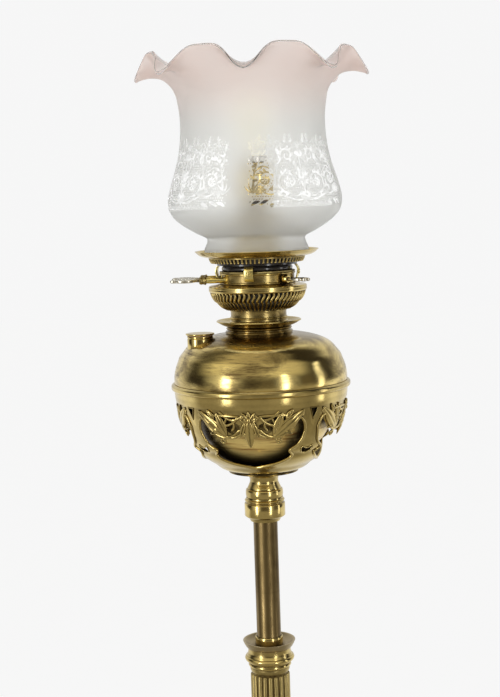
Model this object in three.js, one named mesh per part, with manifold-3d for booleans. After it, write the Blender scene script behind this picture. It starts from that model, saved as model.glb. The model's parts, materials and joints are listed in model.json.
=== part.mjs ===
// A telescopic brass floor lamp: an oil fount and duplex burner in a pierced cradle, on a reeded column.
// Millimetres, +Z up, the front towards -Y. The origin is on the floor, at the middle of the base.
import * as THREE from "three";
import { mergeVertices } from "three/addons/utils/BufferGeometryUtils.js";
import Module from "manifold-3d";

const wasm = await Module();
wasm.setup();

// Fits and facets
const fit = 0.3;
const seat = 0.1;
const overrun = 1;
const weldDistance = 0.001;
const wideSides = 28;
const roundSides = 16;
const smallSides = 12;
const pinSides = 8;
const nutSides = 6;
const toeSides = 6;
const toeRings = 4;

// Feet
const footHeight = 44;
const ankleRadius = 15;
const footTopRadius = 19;
const toeRadius = 8.5;
const toeReach = 13;
const footInset = 27;
const footRimShare = 0.9;
const toeRiseShare = 0.8;
const toeSpread = 0.7;

// Plinth and its ballast
const plinthWidth = 290;
const plinthHeight = 74;
const plinthWall = 3;
const tieNutRadius = 22;
const tieNutThickness = 9;
const tieWasherThickness = 2;
const tieWasherRadius = 27;

// Socle and column
const socleRadius = 66;
const socleHeight = 34;
const footRingRadius = 28;
const footRingHeight = 10;
const columnRadius = 19.4;
const columnHeight = 747.6;
const columnWall = 3.4;
const reedCount = 20;
const reedDepth = 1.5;

// Collar, collet and lock dish
const collarRadius = 24;
const collarHeight = 18;
const colletHeight = 5;
const colletWall = 2.6;
const colletSlit = 1.2;
const dishFootRadius = 21.6;
const dishRimRadius = 25.4;
const dishHeight = 7;
const dishRimWidth = 1.2;
const dishFloor = 2.4;
const dishSleeveHeight = 11;
const dishSleeveWall = 1.2;

// Telescopic tubes
const riserRadius = 11.75;
const riserWall = 1.5;
const riserLength = 700;
const riserShown = 113.6;
const riserSocket = 18;
const stopRadius = 12.3;
const stopLength = 14;
const stopSpigot = 20;
const guideWall = 1.6;

// Coupling
const drumRadius = 19.7;
const drumHeight = 23.4;
const neckRadius = 18;
const neckHeight = 25.4;
const neckFlangeRadius = 27;
const neckFlangeShare = 0.95;
const couplingBore = 7.4;

// Cradle
const cradleRadius = 83.5;
const cradleHeight = 80.8;
const cradleWall = 2;
const cradleTurn = -8.8;
const panelCount = 4;
const cradleScrewHeadRadius = 12;
const cradleScrewHead = 3.6;
const cradleScrewLength = 16;

// Fount
const bowlGap = 6.4;
const bowlWall = 1.6;
const beadRadius = 86.6;
const beadHeight = 6.6;
const domeRadius = 83.4;
const domeHeight = 46.1;
const domeWall = 1.6;
const fountNeckRadius = 32;
const fountNeckHeight = 6.2;
const fountNeckBore = 24.6;
const collarDishRadius = 41;
const collarDishHeight = 5.2;
const collarDishWall = 1.2;
const collarSeatRadius = 27.5;
const collarSpigot = 10;
const burnerThreadRadius = 21.7;
const gasketThickness = 1.2;

// Filler
const fillerReach = 58.5;
const fillerTurn = 195;
const fillerRadius = 12.3;
const fillerWall = 2.5;
const fillerLength = 18;
const fillerCapRadius = 13.7;
const fillerCapThickness = 1.8;
const fillerPlug = 8;
const fillerGasket = 0.9;

// Burner body
const burnerNeckRadius = 28.1;
const burnerNeckHeight = 12.4;
const burnerThread = 9;
const burnerBore = 19.5;
const bowlRimRadius = 47.2;
const airBowlHeight = 25;
const airBowlWall = 1.2;
const airBowlLip = 34;
const airSlotCount = 14;
const airSlotWidth = 2.4;
const airSlotBottomShare = 0.14;
const airSlotTopShare = 0.54;
const cableRiseShare = 0.79;
const deckRadius = 36.5;
const deckHeight = 10.9;
const deckWall = 1.6;
const deckPlateThickness = 1.2;
const crownRingRadius = 34;
const crownRingWall = 3;
const crownRingHeight = 5.7;

// Wicks and winders
const wickWidth = 25;
const wickThickness = 2;
const wickFloorGap = 13.7;
const wickShown = 2;
const wickTubeWall = 0.7;
const wickTubeLength = 91;
const winderOffset = 16;
const winderRise = 4.7;
const wheelRadius = 6;
const wheelWidth = 2.4;
const wheelCount = 2;
const wheelSpacing = 12;
const spindleRadius = 1.5;
const spindleReach = 11;
const sleeveRadius = 2.6;
const sleeveInnerReach = 29;
const sleeveOuterReach = 47.6;
const barrelRadius = 4.9;
const barrelLength = 8;
const keyLength = 26;
const keyHalfWidth = 10.5;
const keyThickness = 1.8;

// Extinguisher
const leverTurn = -47.7;
const leverReach = 68;
const leverInnerReach = 25;
const leverBushInner = 31;
const leverBushOuter = 43;
const leverHalfWidth = 7;
const crankLength = 6;
const crankWidth = 3;
const crankRest = -30;
const hoodHeight = 8;
const hoodWall = 1;
const hoodRodRadius = 1.2;

// Lampholder adaptor
const adaptorRadius = 30.5;
const adaptorHeight = 63.5;
const adaptorWall = 1.2;
const cableBore = 5;
const holderRadius = 18.5;
const holderHeight = 26.4;
const holderWall = 1.4;
const holderSleeveRadius = 14.8;
const holderSleeveHeight = 12;
const insulatorThickness = 6;
const insulatorRise = 7;
const pinRadius = 1.6;
const pinLength = 3.4;
const pinSpacing = 12;
const cableBushRadius = 3;
const cableBushBore = 1.8;
const cableBushLength = 7;

// Bulb
const bulbCapRadius = 11;
const bulbCapHeight = 27.2;
const bulbSkirtRadius = 12.7;
const bulbSkirtHeight = 6;
const bulbRadius = 21.5;
const bulbHeight = 60;
const bulbWall = 1;
const bulbShoulderShare = 1.15;
const bulbSteps = 6;

// Gallery
const galleryTurn = -12;
const crownRadius = 46.6;
const crownFootRadius = 38.4;
const crownHeight = 7.5;
const crownWall = 1.2;
const crownNotchCount = 14;
const crownNotchWidth = 2;
const crownNotchDepth = 3;
const crownKneeShare = 0.4;
const trayRadius = 59.7;
const trayHeight = 6.4;
const trayFloor = 1.6;
const traySeatRadius = 51.5;
const trayBore = 42;
const trayKneeShare = 0.4;
const trayRimShare = 0.88;
const trayDishShare = 0.6;
const clipCount = 4;
const clipWidth = 8.6;
const clipHeight = 14.6;
const clipThickness = 1.2;
const clipBulge = 2.6;
const clipBossRadius = 2.6;
const clipBossHeight = 1.2;
const clipBulgeShare = 0.35;
const clipWaistShare = 0.8;

// Shade
const shadeBellyRadius = 83.4;
const shadeBodyHeight = 148;
const shadeWall = 3;
const frillHeight = 45;
const troughSpread = 110.4;
const crestSpread = 100.8;
const lobeCount = 8;
const lobeTurn = -93.4;
const lobeSharpness = 2.4;
const shadeSides = 48;

// Finishes
const finishes = {
  brass: { color: 0x9c8248, roughness: 0.28, metalness: 1 },
  dullBrass: { color: 0x7d6440, roughness: 0.45, metalness: 1 },
  tubeBrass: { color: 0x6f5434, roughness: 0.4, metalness: 1 },
  dishBrass: { color: 0x9a7c62, roughness: 0.6, metalness: 0.8 },
  iron: { color: 0x3b3835, roughness: 0.7, metalness: 0.9 },
  black: { color: 0x14110e, roughness: 0.25, metalness: 0.4 },
  plaster: { color: 0xb8b0a0, roughness: 0.9, metalness: 0 },
  cork: { color: 0x8a6a48, roughness: 0.9, metalness: 0 },
  cotton: { color: 0xd8d0bc, roughness: 1, metalness: 0 },
  porcelain: { color: 0xe8e4da, roughness: 0.3, metalness: 0 },
  nickel: { color: 0xa8a8a6, roughness: 0.3, metalness: 1 },
  opal: { color: 0xf0e8d4, roughness: 0.2, metalness: 0 },
  frosted: { color: 0xe6e4d8, roughness: 0.5, metalness: 0 },
};

// Derived radii
const guideBore = stopRadius + fit;
const guideRadius = guideBore + guideWall;
const riserBore = riserRadius + fit;
const collarBore = guideRadius + fit;
const crownRingBore = crownRingRadius - crownRingWall;
const fillerBore = fillerRadius - fillerWall;

// Heights up the stand
const plinthLevel = footHeight + seat;
const socleLevel = plinthLevel + plinthHeight + seat;
const footRingLevel = socleLevel + socleHeight + seat;
const columnLevel = footRingLevel + footRingHeight + seat;
const collarLevel = columnLevel + columnHeight + seat;
const dishLevel = collarLevel + collarHeight + seat;
const drumLevel = dishLevel + dishSleeveHeight + riserShown;

// Heights above the coupling
const neckRise = drumHeight + seat;
const cradleRise = neckRise + neckHeight + seat;
const fountRise = cradleRise + cradleHeight + seat;

// Heights above the underside of the fount's bead
const domeRise = beadHeight + seat;
const fountNeckRise = domeRise + domeHeight;
const burnerCollarRise = fountNeckRise + fountNeckHeight + seat;
const collarSeatRise = burnerCollarRise + collarDishHeight / 2;
const burnerGasketRise = collarSeatRise + seat;
const burnerRise = burnerGasketRise + gasketThickness + seat;

// Heights above the underside of the burner
const airBowlRise = burnerNeckHeight + seat;
const deckRise = airBowlRise + airBowlHeight + seat;
const deckPlateRise = deckRise + deckHeight + seat;
const deckTop = deckPlateRise + deckPlateThickness;
const crownRingRise = deckTop + seat;
const galleryRise = crownRingRise + crownRingHeight + seat;
const winderLevel = deckRise + winderRise;
const adaptorRise = deckTop + seat;
const holderRise = adaptorRise + adaptorHeight + seat;
const holderSleeveRise = holderRise + holderHeight + seat;
const insulatorLevel = holderRise + holderWall + insulatorRise;
const insulatorTop = insulatorLevel + insulatorThickness;
const bulbRise = insulatorTop + pinLength + seat;

// Heights above the underside of the gallery
const trayRise = crownHeight + seat;
const shadeRise = trayRise + trayFloor + seat;

// Geometry helpers
function solidFrom(geometry) {
  const bare = geometry.clone();
  bare.deleteAttribute("normal");
  bare.deleteAttribute("uv");
  const merged = mergeVertices(bare, weldDistance);
  const corners = merged.index.array;
  const kept = [];
  for (let i = 0; i < corners.length; i += 3) {
    const [a, b, c] = corners.slice(i, i + 3);
    if (a !== b && b !== c && c !== a) kept.push(a, b, c);
  }
  return new wasm.Manifold(
    new wasm.Mesh({
      numProp: 3,
      vertProperties: merged.attributes.position.array,
      triVerts: new Uint32Array(kept),
    }),
  );
}

function geometryFrom(solid) {
  const { vertProperties, triVerts } = solid.getMesh();
  const geometry = new THREE.BufferGeometry();
  geometry.setAttribute("position", new THREE.BufferAttribute(vertProperties, 3));
  geometry.setIndex(new THREE.BufferAttribute(triVerts, 1));
  geometry.computeVertexNormals();
  return geometry;
}

function join(...pieces) {
  return geometryFrom(pieces.map(solidFrom).reduce((whole, piece) => whole.add(piece)));
}

function cut(blank, ...tools) {
  const cutters = tools.map(solidFrom);
  return geometryFrom(cutters.reduce((rest, tool) => rest.subtract(tool), solidFrom(blank)));
}

// A body turned about Z. Its outline is a list of [radius, height], with the outside going up.
function turned(outline, sides = roundSides) {
  const points = outline.map(([radius, height]) => new THREE.Vector2(radius, height));
  if (outline[0][0] > 0) points.push(points[0].clone());
  return new THREE.LatheGeometry(points, sides).rotateX(Math.PI / 2);
}

// The same with four flat sides, where the outline gives half widths.
function squareTurned(outline) {
  const corners = outline.map(([half, height]) => [half * Math.SQRT2, height]);
  return turned(corners, 4).rotateZ(Math.PI / 4);
}

function ring(outer, inner, bottom, top, sides = roundSides) {
  return turned([[inner, bottom], [outer, bottom], [outer, top], [inner, top]], sides);
}

function disc(radius, bottom, top, sides = roundSides) {
  return turned([[0, bottom], [radius, bottom], [radius, top], [0, top]], sides);
}

// A rod along X from one reach to another.
function rodAlongX(radius, from, to, sides = smallSides) {
  return disc(radius, from, to, sides).rotateY(Math.PI / 2);
}

function ringAlongX(outer, inner, from, to, sides = smallSides) {
  return ring(outer, inner, from, to, sides).rotateY(Math.PI / 2);
}

function block(width, depth, bottom, top) {
  const height = top - bottom;
  return new THREE.BoxGeometry(width, depth, height).translate(0, 0, bottom + height / 2);
}

// An outline drawn in X and Y, made thick along Z about its own plane.
function plate(points, thickness, holes = []) {
  const toLoop = (list) => {
    const loop = list.map(([x, y]) => new THREE.Vector2(x, y));
    return THREE.ShapeUtils.isClockWise(loop) ? loop.reverse() : loop;
  };
  const shape = new THREE.Shape(toLoop(points));
  shape.holes = holes.map((list) => new THREE.Path(toLoop(list)));
  const made = new THREE.ExtrudeGeometry(shape, { depth: thickness, bevelEnabled: false });
  return made.translate(0, 0, -thickness / 2);
}

// An outline drawn in X and Z, made deep along Y from the near side to the far side.
function frontPrism(points, near, far) {
  return plate(points, far - near)
    .rotateX(Math.PI / 2)
    .translate(0, (near + far) / 2, 0);
}

function scaled(shares, width, height) {
  return shares.map(([across, up]) => [across * width, up * height]);
}

function mirrored(points) {
  const other = points.filter(([x]) => x > 0).map(([x, y]) => [-x, y]);
  return [...points, ...other.reverse()];
}

// An outline moved to its left by a distance, with mitred corners.
function offsetOutline(outline, distance) {
  const last = outline.length - 1;
  const normals = outline.slice(1).map(([x, y], i) => {
    const [dx, dy] = [x - outline[i][0], y - outline[i][1]];
    const length = Math.hypot(dx, dy);
    return [-dy / length, dx / length];
  });
  return outline.map(([x, y], i) => {
    const [ax, ay] = normals[Math.max(i - 1, 0)];
    const [bx, by] = normals[Math.min(i, last - 1)];
    if (i > 0 && i < last) {
      const reach = distance / (1 + ax * bx + ay * by);
      return [x + (ax + bx) * reach, y + (ay + by) * reach];
    }
    // An end is cut level, or plumb where the outline runs flat.
    return Math.abs(ax) > Math.abs(ay) ? [x + distance / ax, y] : [x, y + distance / ay];
  });
}

// Every second point of an outline, with both of its ends.
function thinned(outline) {
  return outline.filter((_, i) => i % 2 === 0 || i === outline.length - 1);
}

function shell(outline, wall, sides = roundSides) {
  return turned([...outline, ...offsetOutline(outline, wall).reverse()], sides);
}

const degrees = (angle) => THREE.MathUtils.degToRad(angle);
const evenTurns = (count) => Array.from({ length: count }, (_, i) => (i * 2 * Math.PI) / count);

function piece(group, name, geometry, finish, rise = 0, turn = 0) {
  const mesh = new THREE.Mesh(geometry, new THREE.MeshStandardMaterial(finishes[finish]));
  mesh.name = name;
  mesh.position.z = rise;
  mesh.rotation.z = turn;
  group.add(mesh);
  return mesh;
}

// Stand: four paw feet under the corners of the plinth
function pawFoot() {
  const ankleShares = [[1, 0], [1.1, 0.2], [0.85, 0.5]];
  const ankle = turned(
    [
      [0, 0],
      ...scaled(ankleShares, ankleRadius, footHeight),
      [footTopRadius, footHeight * footRimShare],
      [footTopRadius, footHeight],
      [0, footHeight],
    ],
    pinSides,
  );
  const toes = [-toeSpread, 0, toeSpread].map((turn) =>
    new THREE.SphereGeometry(toeRadius, toeSides, toeRings)
      .rotateX(Math.PI / 2)
      .translate(toeReach, 0, toeRadius * toeRiseShare)
      .rotateZ(turn),
  );
  const floor = block(footHeight * 2, footHeight * 2, -footHeight, 0);
  return cut(join(ankle, ...toes), floor);
}

const lamp = new THREE.Group();
const stand = new THREE.Group();
lamp.add(stand);

["front_right", "back_right", "back_left", "front_left"].forEach((corner, i) => {
  const turn = -Math.PI / 4 + (i * Math.PI) / 2;
  const reach = (plinthWidth / 2 - footInset) * Math.SQRT2;
  const foot = piece(stand, "foot_" + corner, pawFoot(), "brass", 0, turn);
  foot.position.x = reach * Math.cos(turn);
  foot.position.y = reach * Math.sin(turn);
});

// Stand: stepped plinth, and the ballast that fills it
const plinthShares = [
  [1, 0], [1, 0.15], [0.975, 0.22], [0.88, 0.27], [0.83, 0.34], [0.83, 0.5],
  [0.79, 0.57], [0.69, 0.62], [0.64, 0.7], [0.64, 0.86], [0.6, 0.93], [0.54, 1],
];
const plinthOutline = scaled(plinthShares, plinthWidth / 2, plinthHeight);
const tieBore = guideRadius + fit;
const plinthTop = [...plinthOutline, [tieBore / 2, plinthHeight]];
const aboveFoot = ([half, height]) => [half, Math.max(height, 0)];
const plinthInside = offsetOutline(plinthTop, plinthWall).map(aboveFoot);
const plinthShell = squareTurned([...plinthTop, ...plinthInside.reverse()]);
const tieHole = disc(tieBore, -overrun, plinthHeight + overrun);
piece(stand, "base_plinth", cut(plinthShell, tieHole), "brass", plinthLevel);

const ballastTop = [...plinthOutline, [0, plinthHeight]];
const ballastOutline = offsetOutline(ballastTop, plinthWall + fit).map(aboveFoot);
const nutRecess = tieNutThickness + tieWasherThickness + 2 * seat;
const ballastRecess = disc(tieWasherRadius + fit, -overrun, nutRecess);
piece(
  stand,
  "base_ballast",
  cut(squareTurned([[0, 0], ...ballastOutline]), tieHole, ballastRecess),
  "plaster",
  plinthLevel,
);
const tieWasher = ring(tieWasherRadius, tieBore, 0, tieWasherThickness);
piece(stand, "tie_washer", tieWasher, "iron", plinthLevel + tieNutThickness + seat);
const tieNut = cut(disc(tieNutRadius, 0, tieNutThickness, nutSides), tieHole);
piece(stand, "tie_nut", tieNut, "iron", plinthLevel);

// Stand: socle, foot ring, reeded column and the guide tube inside it
const socleShares = [
  [1, 0], [1, 0.14], [0.94, 0.24], [0.76, 0.3], [0.57, 0.5], [0.48, 0.8], [0.5, 1],
];
const socleOutline = scaled(socleShares, socleRadius, socleHeight);
piece(
  stand,
  "base_socle",
  turned([[tieBore, 0], ...socleOutline, [tieBore, socleHeight]]),
  "brass",
  socleLevel,
);
const footRingShares = [[1, 0], [1.08, 0.25], [1, 0.5], [0.84, 0.6], [0.8, 1]];
piece(
  stand,
  "column_foot_ring",
  turned([
    [tieBore, 0],
    ...scaled(footRingShares, footRingRadius, footRingHeight),
    [tieBore, footRingHeight],
  ]),
  "brass",
  footRingLevel,
);

function reededColumn() {
  const reedShares = [[0, 1], [0.2, 0.3], [0.5, 0], [0.8, 0.3]];
  const pitch = (2 * Math.PI) / reedCount;
  const outside = evenTurns(reedCount).flatMap((turn) =>
    reedShares.map(([along, depth]) => {
      const radius = columnRadius - depth * reedDepth;
      const angle = turn + along * pitch;
      return [radius * Math.cos(angle), radius * Math.sin(angle)];
    }),
  );
  const bore = evenTurns(smallSides).map((turn) => {
    const radius = columnRadius - columnWall;
    return [radius * Math.cos(turn), radius * Math.sin(turn)];
  });
  return plate(outside, columnHeight, [bore]).translate(0, 0, columnHeight / 2);
}
piece(stand, "column_reeded", reededColumn(), "brass", columnLevel);

const guideTop = collarLevel + collarHeight - colletHeight - 2 * seat;
const guideTube = ring(guideRadius, guideBore, 0, guideTop - plinthLevel);
piece(stand, "guide_tube", guideTube, "dullBrass", plinthLevel);

// Stand: collar that caps the column, and the split collet that grips the tube
const collarShares = [
  [0.84, 0], [0.863, 0.06], [0.863, 0.17], [0.84, 0.23], [0.98, 0.34], [1, 0.46],
  [0.97, 0.57], [0.89, 0.76], [0.865, 0.94], [0.865, 1],
];
const colletRadius = riserBore + colletWall;
piece(
  stand,
  "column_collar",
  turned([
    [collarBore, 0],
    ...scaled(collarShares, collarRadius, collarHeight),
    [colletRadius + fit, collarHeight],
    [colletRadius + fit, collarHeight - colletHeight - seat],
    [collarBore, collarHeight - colletHeight - seat],
  ]),
  "brass",
  collarLevel,
);
const colletRing = ring(colletRadius, riserBore, 0, colletHeight);
const colletSaw = block(colletSlit, colletRadius, -overrun, colletHeight + overrun);
piece(
  stand,
  "clamp_collet",
  cut(colletRing, colletSaw.translate(0, colletRadius, 0)),
  "brass",
  collarLevel + collarHeight - colletHeight,
);

// Lock dish
const lock = new THREE.Group();
lock.position.z = dishLevel;
stand.add(lock);
const dishSleeveRadius = riserBore + dishSleeveWall;
piece(
  lock,
  "lock_dish",
  turned([
    [riserBore, 0],
    [dishFootRadius, 0],
    [dishRimRadius, dishHeight],
    [dishRimRadius - dishRimWidth, dishHeight],
    [dishSleeveRadius + dishSleeveWall, dishFloor],
    [dishSleeveRadius, dishFloor],
    [dishSleeveRadius, dishSleeveHeight],
    [riserBore, dishSleeveHeight],
  ]),
  "dishBrass",
);

// Telescope: tube with its stop, coupling and cradle
const riser = new THREE.Group();
riser.position.z = drumLevel;
stand.add(riser);
const riserTop = riserSocket - seat;
const riserTube = ring(riserRadius, riserRadius - riserWall, riserTop - riserLength, riserTop);
piece(riser, "riser_tube", riserTube, "tubeBrass");
const stopBoreRadius = riserRadius - 2 * riserWall - 2 * fit;
piece(
  riser,
  "riser_stop",
  turned(
    [
      [stopBoreRadius, 0],
      [stopRadius, 0],
      [stopRadius, stopLength],
      [riserRadius - riserWall - fit, stopLength],
      [riserRadius - riserWall - fit, stopLength + stopSpigot],
      [stopBoreRadius, stopLength + stopSpigot],
    ],
    smallSides,
  ),
  "dullBrass",
  riserTop - riserLength - stopLength - seat,
);

const drumShares = [
  [0.73, 0], [0.82, 0.15], [1, 0.23], [1, 0.74], [0.9, 0.79], [0.96, 0.87], [0.9, 1],
];
piece(
  riser,
  "coupling_drum",
  turned([
    [riserBore, 0],
    ...scaled(drumShares, drumRadius, drumHeight),
    [couplingBore, drumHeight],
    [couplingBore, riserSocket],
    [riserBore, riserSocket],
  ]),
  "brass",
);
const neckShares = [
  [0.99, 0], [1, 0.27], [0.88, 0.42], [0.76, 0.64], [0.84, 0.8], [1, 0.88],
];
piece(
  riser,
  "coupling_neck",
  turned([
    [couplingBore, 0],
    ...scaled(neckShares, neckRadius, neckHeight),
    [neckFlangeRadius, neckHeight * neckFlangeShare],
    [neckFlangeRadius, neckHeight],
    [couplingBore, neckHeight],
  ]),
  "brass",
  neckRise,
);

// Cradle: a bowl shell whose four panels are pierced round a hanging festoon
const cradleShares = [
  [0.345, 0], [0.402, 0.027], [0.563, 0.118], [0.766, 0.313], [0.862, 0.462], [0.903, 0.557],
  [0.989, 0.895], [1, 1],
];
const panelHalfShares = [
  [0, 0.152], [0.24, 0.208], [0.371, 0.264], [0.425, 0.319], [0.407, 0.375], [0.491, 0.437],
  [0.545, 0.511], [0.587, 0.623], [0.539, 0.771], [0.479, 0.684], [0.383, 0.592],
  [0.287, 0.554], [0.192, 0.579], [0.108, 0.647], [0, 0.486],
];
const crescentShares = [[0.12, 0.808], [0.2, 0.7], [0.33, 0.7], [0.431, 0.808]];
const strapPointShares = [[0, 0.734], [0.054, 0.87]];
const strapSlotShares = [[0, 0.325], [0.078, 0.365], [0.06, 0.425], [0, 0.406]];
const cutterDepthShare = 0.35;

function cradlePiercing() {
  const sized = (shares) => scaled(shares, cradleRadius, cradleHeight);
  const near = -cradleRadius - overrun;
  const far = -cradleRadius * cutterDepthShare;
  const crescent = sized(crescentShares);
  const panelHoles = [
    mirrored(sized(panelHalfShares)),
    crescent,
    crescent.map(([x, z]) => [-x, z]).reverse(),
  ];
  const strapHoles = [mirrored(sized(strapPointShares)), mirrored(sized(strapSlotShares))];
  return evenTurns(panelCount).flatMap((turn) => [
    ...panelHoles.map((hole) => frontPrism(hole, near, far).rotateZ(turn)),
    ...strapHoles.map((hole) => frontPrism(hole, near, far).rotateZ(turn + Math.PI / panelCount)),
  ]);
}
const cradleOutline = scaled(cradleShares, cradleRadius, cradleHeight);
const cradleBody = [[couplingBore, 0], ...cradleOutline];
const cradleShell = shell(cradleBody, cradleWall, wideSides);
piece(
  riser,
  "cradle",
  cut(cradleShell, ...cradlePiercing()),
  "brass",
  cradleRise,
  degrees(cradleTurn),
);
const screwRadius = couplingBore - fit;
const cradleScrew = turned(
  [
    [0, -cradleScrewLength],
    [screwRadius, -cradleScrewLength],
    [screwRadius, 0],
    [cradleScrewHeadRadius, 0],
    [cradleScrewHeadRadius, cradleScrewHead],
    [0, cradleScrewHead],
  ],
  smallSides,
);
piece(riser, "cradle_screw", cradleScrew, "dullBrass", cradleRise + cradleWall + seat);

// Fount: bowl with its bead, dome, burner collar and filler
const fount = new THREE.Group();
fount.position.z = fountRise;
riser.add(fount);

const bowlOutline = offsetOutline([[0, 0], ...cradleOutline], cradleWall + bowlGap).map(
  ([radius, height]) => [radius, height - cradleHeight],
);
const bowlTopRadius = bowlOutline.at(-1)[0];
const beadShares = [[0.965, 0], [0.997, 0.25], [0.997, 0.75], [0.965, 1]];
piece(
  fount,
  "fount_bowl",
  turned(
    [
      ...bowlOutline,
      ...scaled(beadShares, beadRadius, beadHeight),
      [bowlTopRadius - bowlWall, beadHeight],
      ...thinned(offsetOutline(bowlOutline, bowlWall)).reverse(),
    ],
    wideSides,
  ),
  "brass",
);

const domeShares = [
  [1, 0], [0.982, 0.297], [0.948, 0.466], [0.886, 0.646], [0.8, 0.807], [0.693, 0.896],
  [0.536, 0.967],
];
const fountNeckShares = [[1, 0], [1, 0.26], [0.93, 0.44], [0.97, 1]];
const fillerX = fillerReach * Math.cos(degrees(fillerTurn));
const fillerY = fillerReach * Math.sin(degrees(fillerTurn));
const domeOutline = [
  ...scaled(domeShares, domeRadius, domeHeight),
  ...scaled(fountNeckShares, fountNeckRadius, fountNeckHeight).map(([radius, height]) => [
    radius,
    height + domeHeight,
  ]),
];
const domeInside = offsetOutline(
  [...scaled(domeShares, domeRadius, domeHeight), [fountNeckRadius, domeHeight]],
  domeWall,
);
const fillerHole = disc(fillerRadius + seat, 0, domeHeight + overrun);
piece(
  fount,
  "fount_dome",
  cut(
    turned(
      [
        ...domeOutline,
        [fountNeckBore, domeHeight + fountNeckHeight],
        [fountNeckBore, domeHeight - domeWall],
        ...thinned(domeInside).reverse(),
      ],
      wideSides,
    ),
    fillerHole.translate(fillerX, fillerY, 0),
  ),
  "brass",
  domeRise,
);

const collarThroat = burnerThreadRadius + 2 * fit;
piece(
  fount,
  "burner_collar",
  turned([
    [collarThroat, -collarSpigot],
    [fountNeckBore - fit, -collarSpigot],
    [fountNeckBore - fit, 0],
    [collarSeatRadius, 0],
    [collarDishRadius, collarDishHeight],
    [collarDishRadius, collarDishHeight + collarDishWall],
    [collarSeatRadius + collarDishWall, collarDishHeight / 2],
    [collarThroat, collarDishHeight / 2],
  ]),
  "brass",
  burnerCollarRise,
);

const fillerLevel = fountNeckRise;
const fillerTube = ring(fillerRadius, fillerBore, -fillerLength, 0);
const fillerPipe = piece(fount, "filler_tube", fillerTube, "brass", fillerLevel);
const gasketRing = ring(fillerRadius - seat, fillerBore + seat, 0, fillerGasket);
const fillerGasketRing = piece(fount, "filler_gasket", gasketRing, "cork", fillerLevel + seat);
const fillerCapLevel = fillerLevel + fillerGasket + 2 * seat;
const plugRadius = fillerBore - fit;
const fillerCapBody = turned([
  [0, -fillerPlug],
  [plugRadius, -fillerPlug],
  [plugRadius, 0],
  [fillerCapRadius, 0],
  [fillerCapRadius, fillerCapThickness],
  [0, fillerCapThickness],
]);
const fillerCap = piece(fount, "filler_cap", fillerCapBody, "brass", fillerCapLevel);
for (const part of [fillerPipe, fillerGasketRing, fillerCap]) {
  part.position.x = fillerX;
  part.position.y = fillerY;
}
const burnerGasket = ring(collarSeatRadius - fit, collarThroat, 0, gasketThickness);
piece(fount, "burner_gasket", burnerGasket, "cork", burnerGasketRise);

// Burner: neck, air bowl, deck ring, deck plate and crown ring
const burner = new THREE.Group();
burner.position.z = burnerRise;
fount.add(burner);

const burnerNeckShares = [[1, 0], [1, 0.14], [0.95, 0.22], [0.95, 0.46], [1, 0.54], [1, 1]];
piece(
  burner,
  "burner_neck",
  turned([
    [burnerBore, -burnerThread],
    [burnerThreadRadius, -burnerThread],
    [burnerThreadRadius, 0],
    ...scaled(burnerNeckShares, burnerNeckRadius, burnerNeckHeight),
    [burnerBore, burnerNeckHeight],
  ]),
  "brass",
);

const airBowlShares = [
  [0.638, 0], [0.752, 0.152], [0.86, 0.38], [0.911, 0.6], [1, 0.664], [1, 0.916], [0.814, 1],
];
function airBowl() {
  const outline = [
    [burnerBore, 0],
    ...scaled(airBowlShares, bowlRimRadius, airBowlHeight),
    [airBowlLip, airBowlHeight],
  ];
  const slot = block(bowlRimRadius, airSlotWidth, airBowlHeight * airSlotBottomShare,
    airBowlHeight * airSlotTopShare).translate(bowlRimRadius, 0, 0);
  const slots = evenTurns(airSlotCount).map((turn) => slot.clone().rotateZ(turn));
  const cableHole = rodAlongX(cableBushRadius + seat, airBowlLip, bowlRimRadius + overrun)
    .translate(0, 0, airBowlHeight * cableRiseShare)
    .rotateZ(Math.PI / 2);
  return cut(shell(outline, airBowlWall, wideSides), ...slots, cableHole);
}
piece(burner, "air_bowl", airBowl(), "brass", airBowlRise);
const cableBush = ringAlongX(
  cableBushRadius,
  cableBushBore,
  bowlRimRadius - cableBushLength / 2,
  bowlRimRadius + cableBushLength / 2,
);
const cableBushMesh = piece(burner, "cable_bush", cableBush, "black", airBowlRise);
cableBushMesh.position.z += airBowlHeight * cableRiseShare;
cableBushMesh.rotation.z = Math.PI / 2;

const sleeveHole = (y) =>
  rodAlongX(sleeveRadius + seat, -deckRadius - overrun, 0).translate(0, y, winderRise);
const leverHole = rodAlongX(sleeveRadius + seat, 0, deckRadius + overrun)
  .translate(0, 0, winderRise)
  .rotateZ(degrees(leverTurn));
piece(
  burner,
  "deck_ring",
  cut(
    ring(deckRadius, deckRadius - deckWall, 0, deckHeight),
    sleeveHole(winderOffset),
    sleeveHole(-winderOffset),
    leverHole,
  ),
  "brass",
  deckRise,
);

// Wick tubes stand beside their winders, so that the spiked wheels reach the wicks
const wickGap = fit;
const wickTubeHalf = wickThickness / 2 + wickGap + wickTubeWall;
const wickTubeWidth = wickWidth + 2 * (wickGap + wickTubeWall);
const wickOffset = winderOffset - wheelRadius - fit - wickThickness / 2;
const wickTubeTop = deckTop + hoodHeight - hoodWall;
const bowlFloor = bowlOutline[0][1] + bowlWall;
const wickLength = burnerRise + wickTubeTop - bowlFloor - wickFloorGap;
const hoodRodX = (leverInnerReach + crankWidth / 2) * Math.cos(degrees(leverTurn)) -
  crankLength * Math.sin(degrees(leverTurn));
const hoodRodY = (leverInnerReach + crankWidth / 2) * Math.sin(degrees(leverTurn)) +
  crankLength * Math.cos(degrees(leverTurn));
const wickSlot = (y) =>
  block(wickTubeWidth + 2 * seat, 2 * (wickTubeHalf + seat), -overrun, deckPlateThickness + overrun)
    .translate(0, y, 0);
piece(
  burner,
  "deck_plate",
  cut(
    disc(deckRadius - seat, 0, deckPlateThickness),
    wickSlot(wickOffset),
    wickSlot(-wickOffset),
    disc(hoodRodRadius + fit, -overrun, deckPlateThickness + overrun, pinSides)
      .translate(hoodRodX, hoodRodY, 0),
  ),
  "dullBrass",
  deckPlateRise,
);
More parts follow.
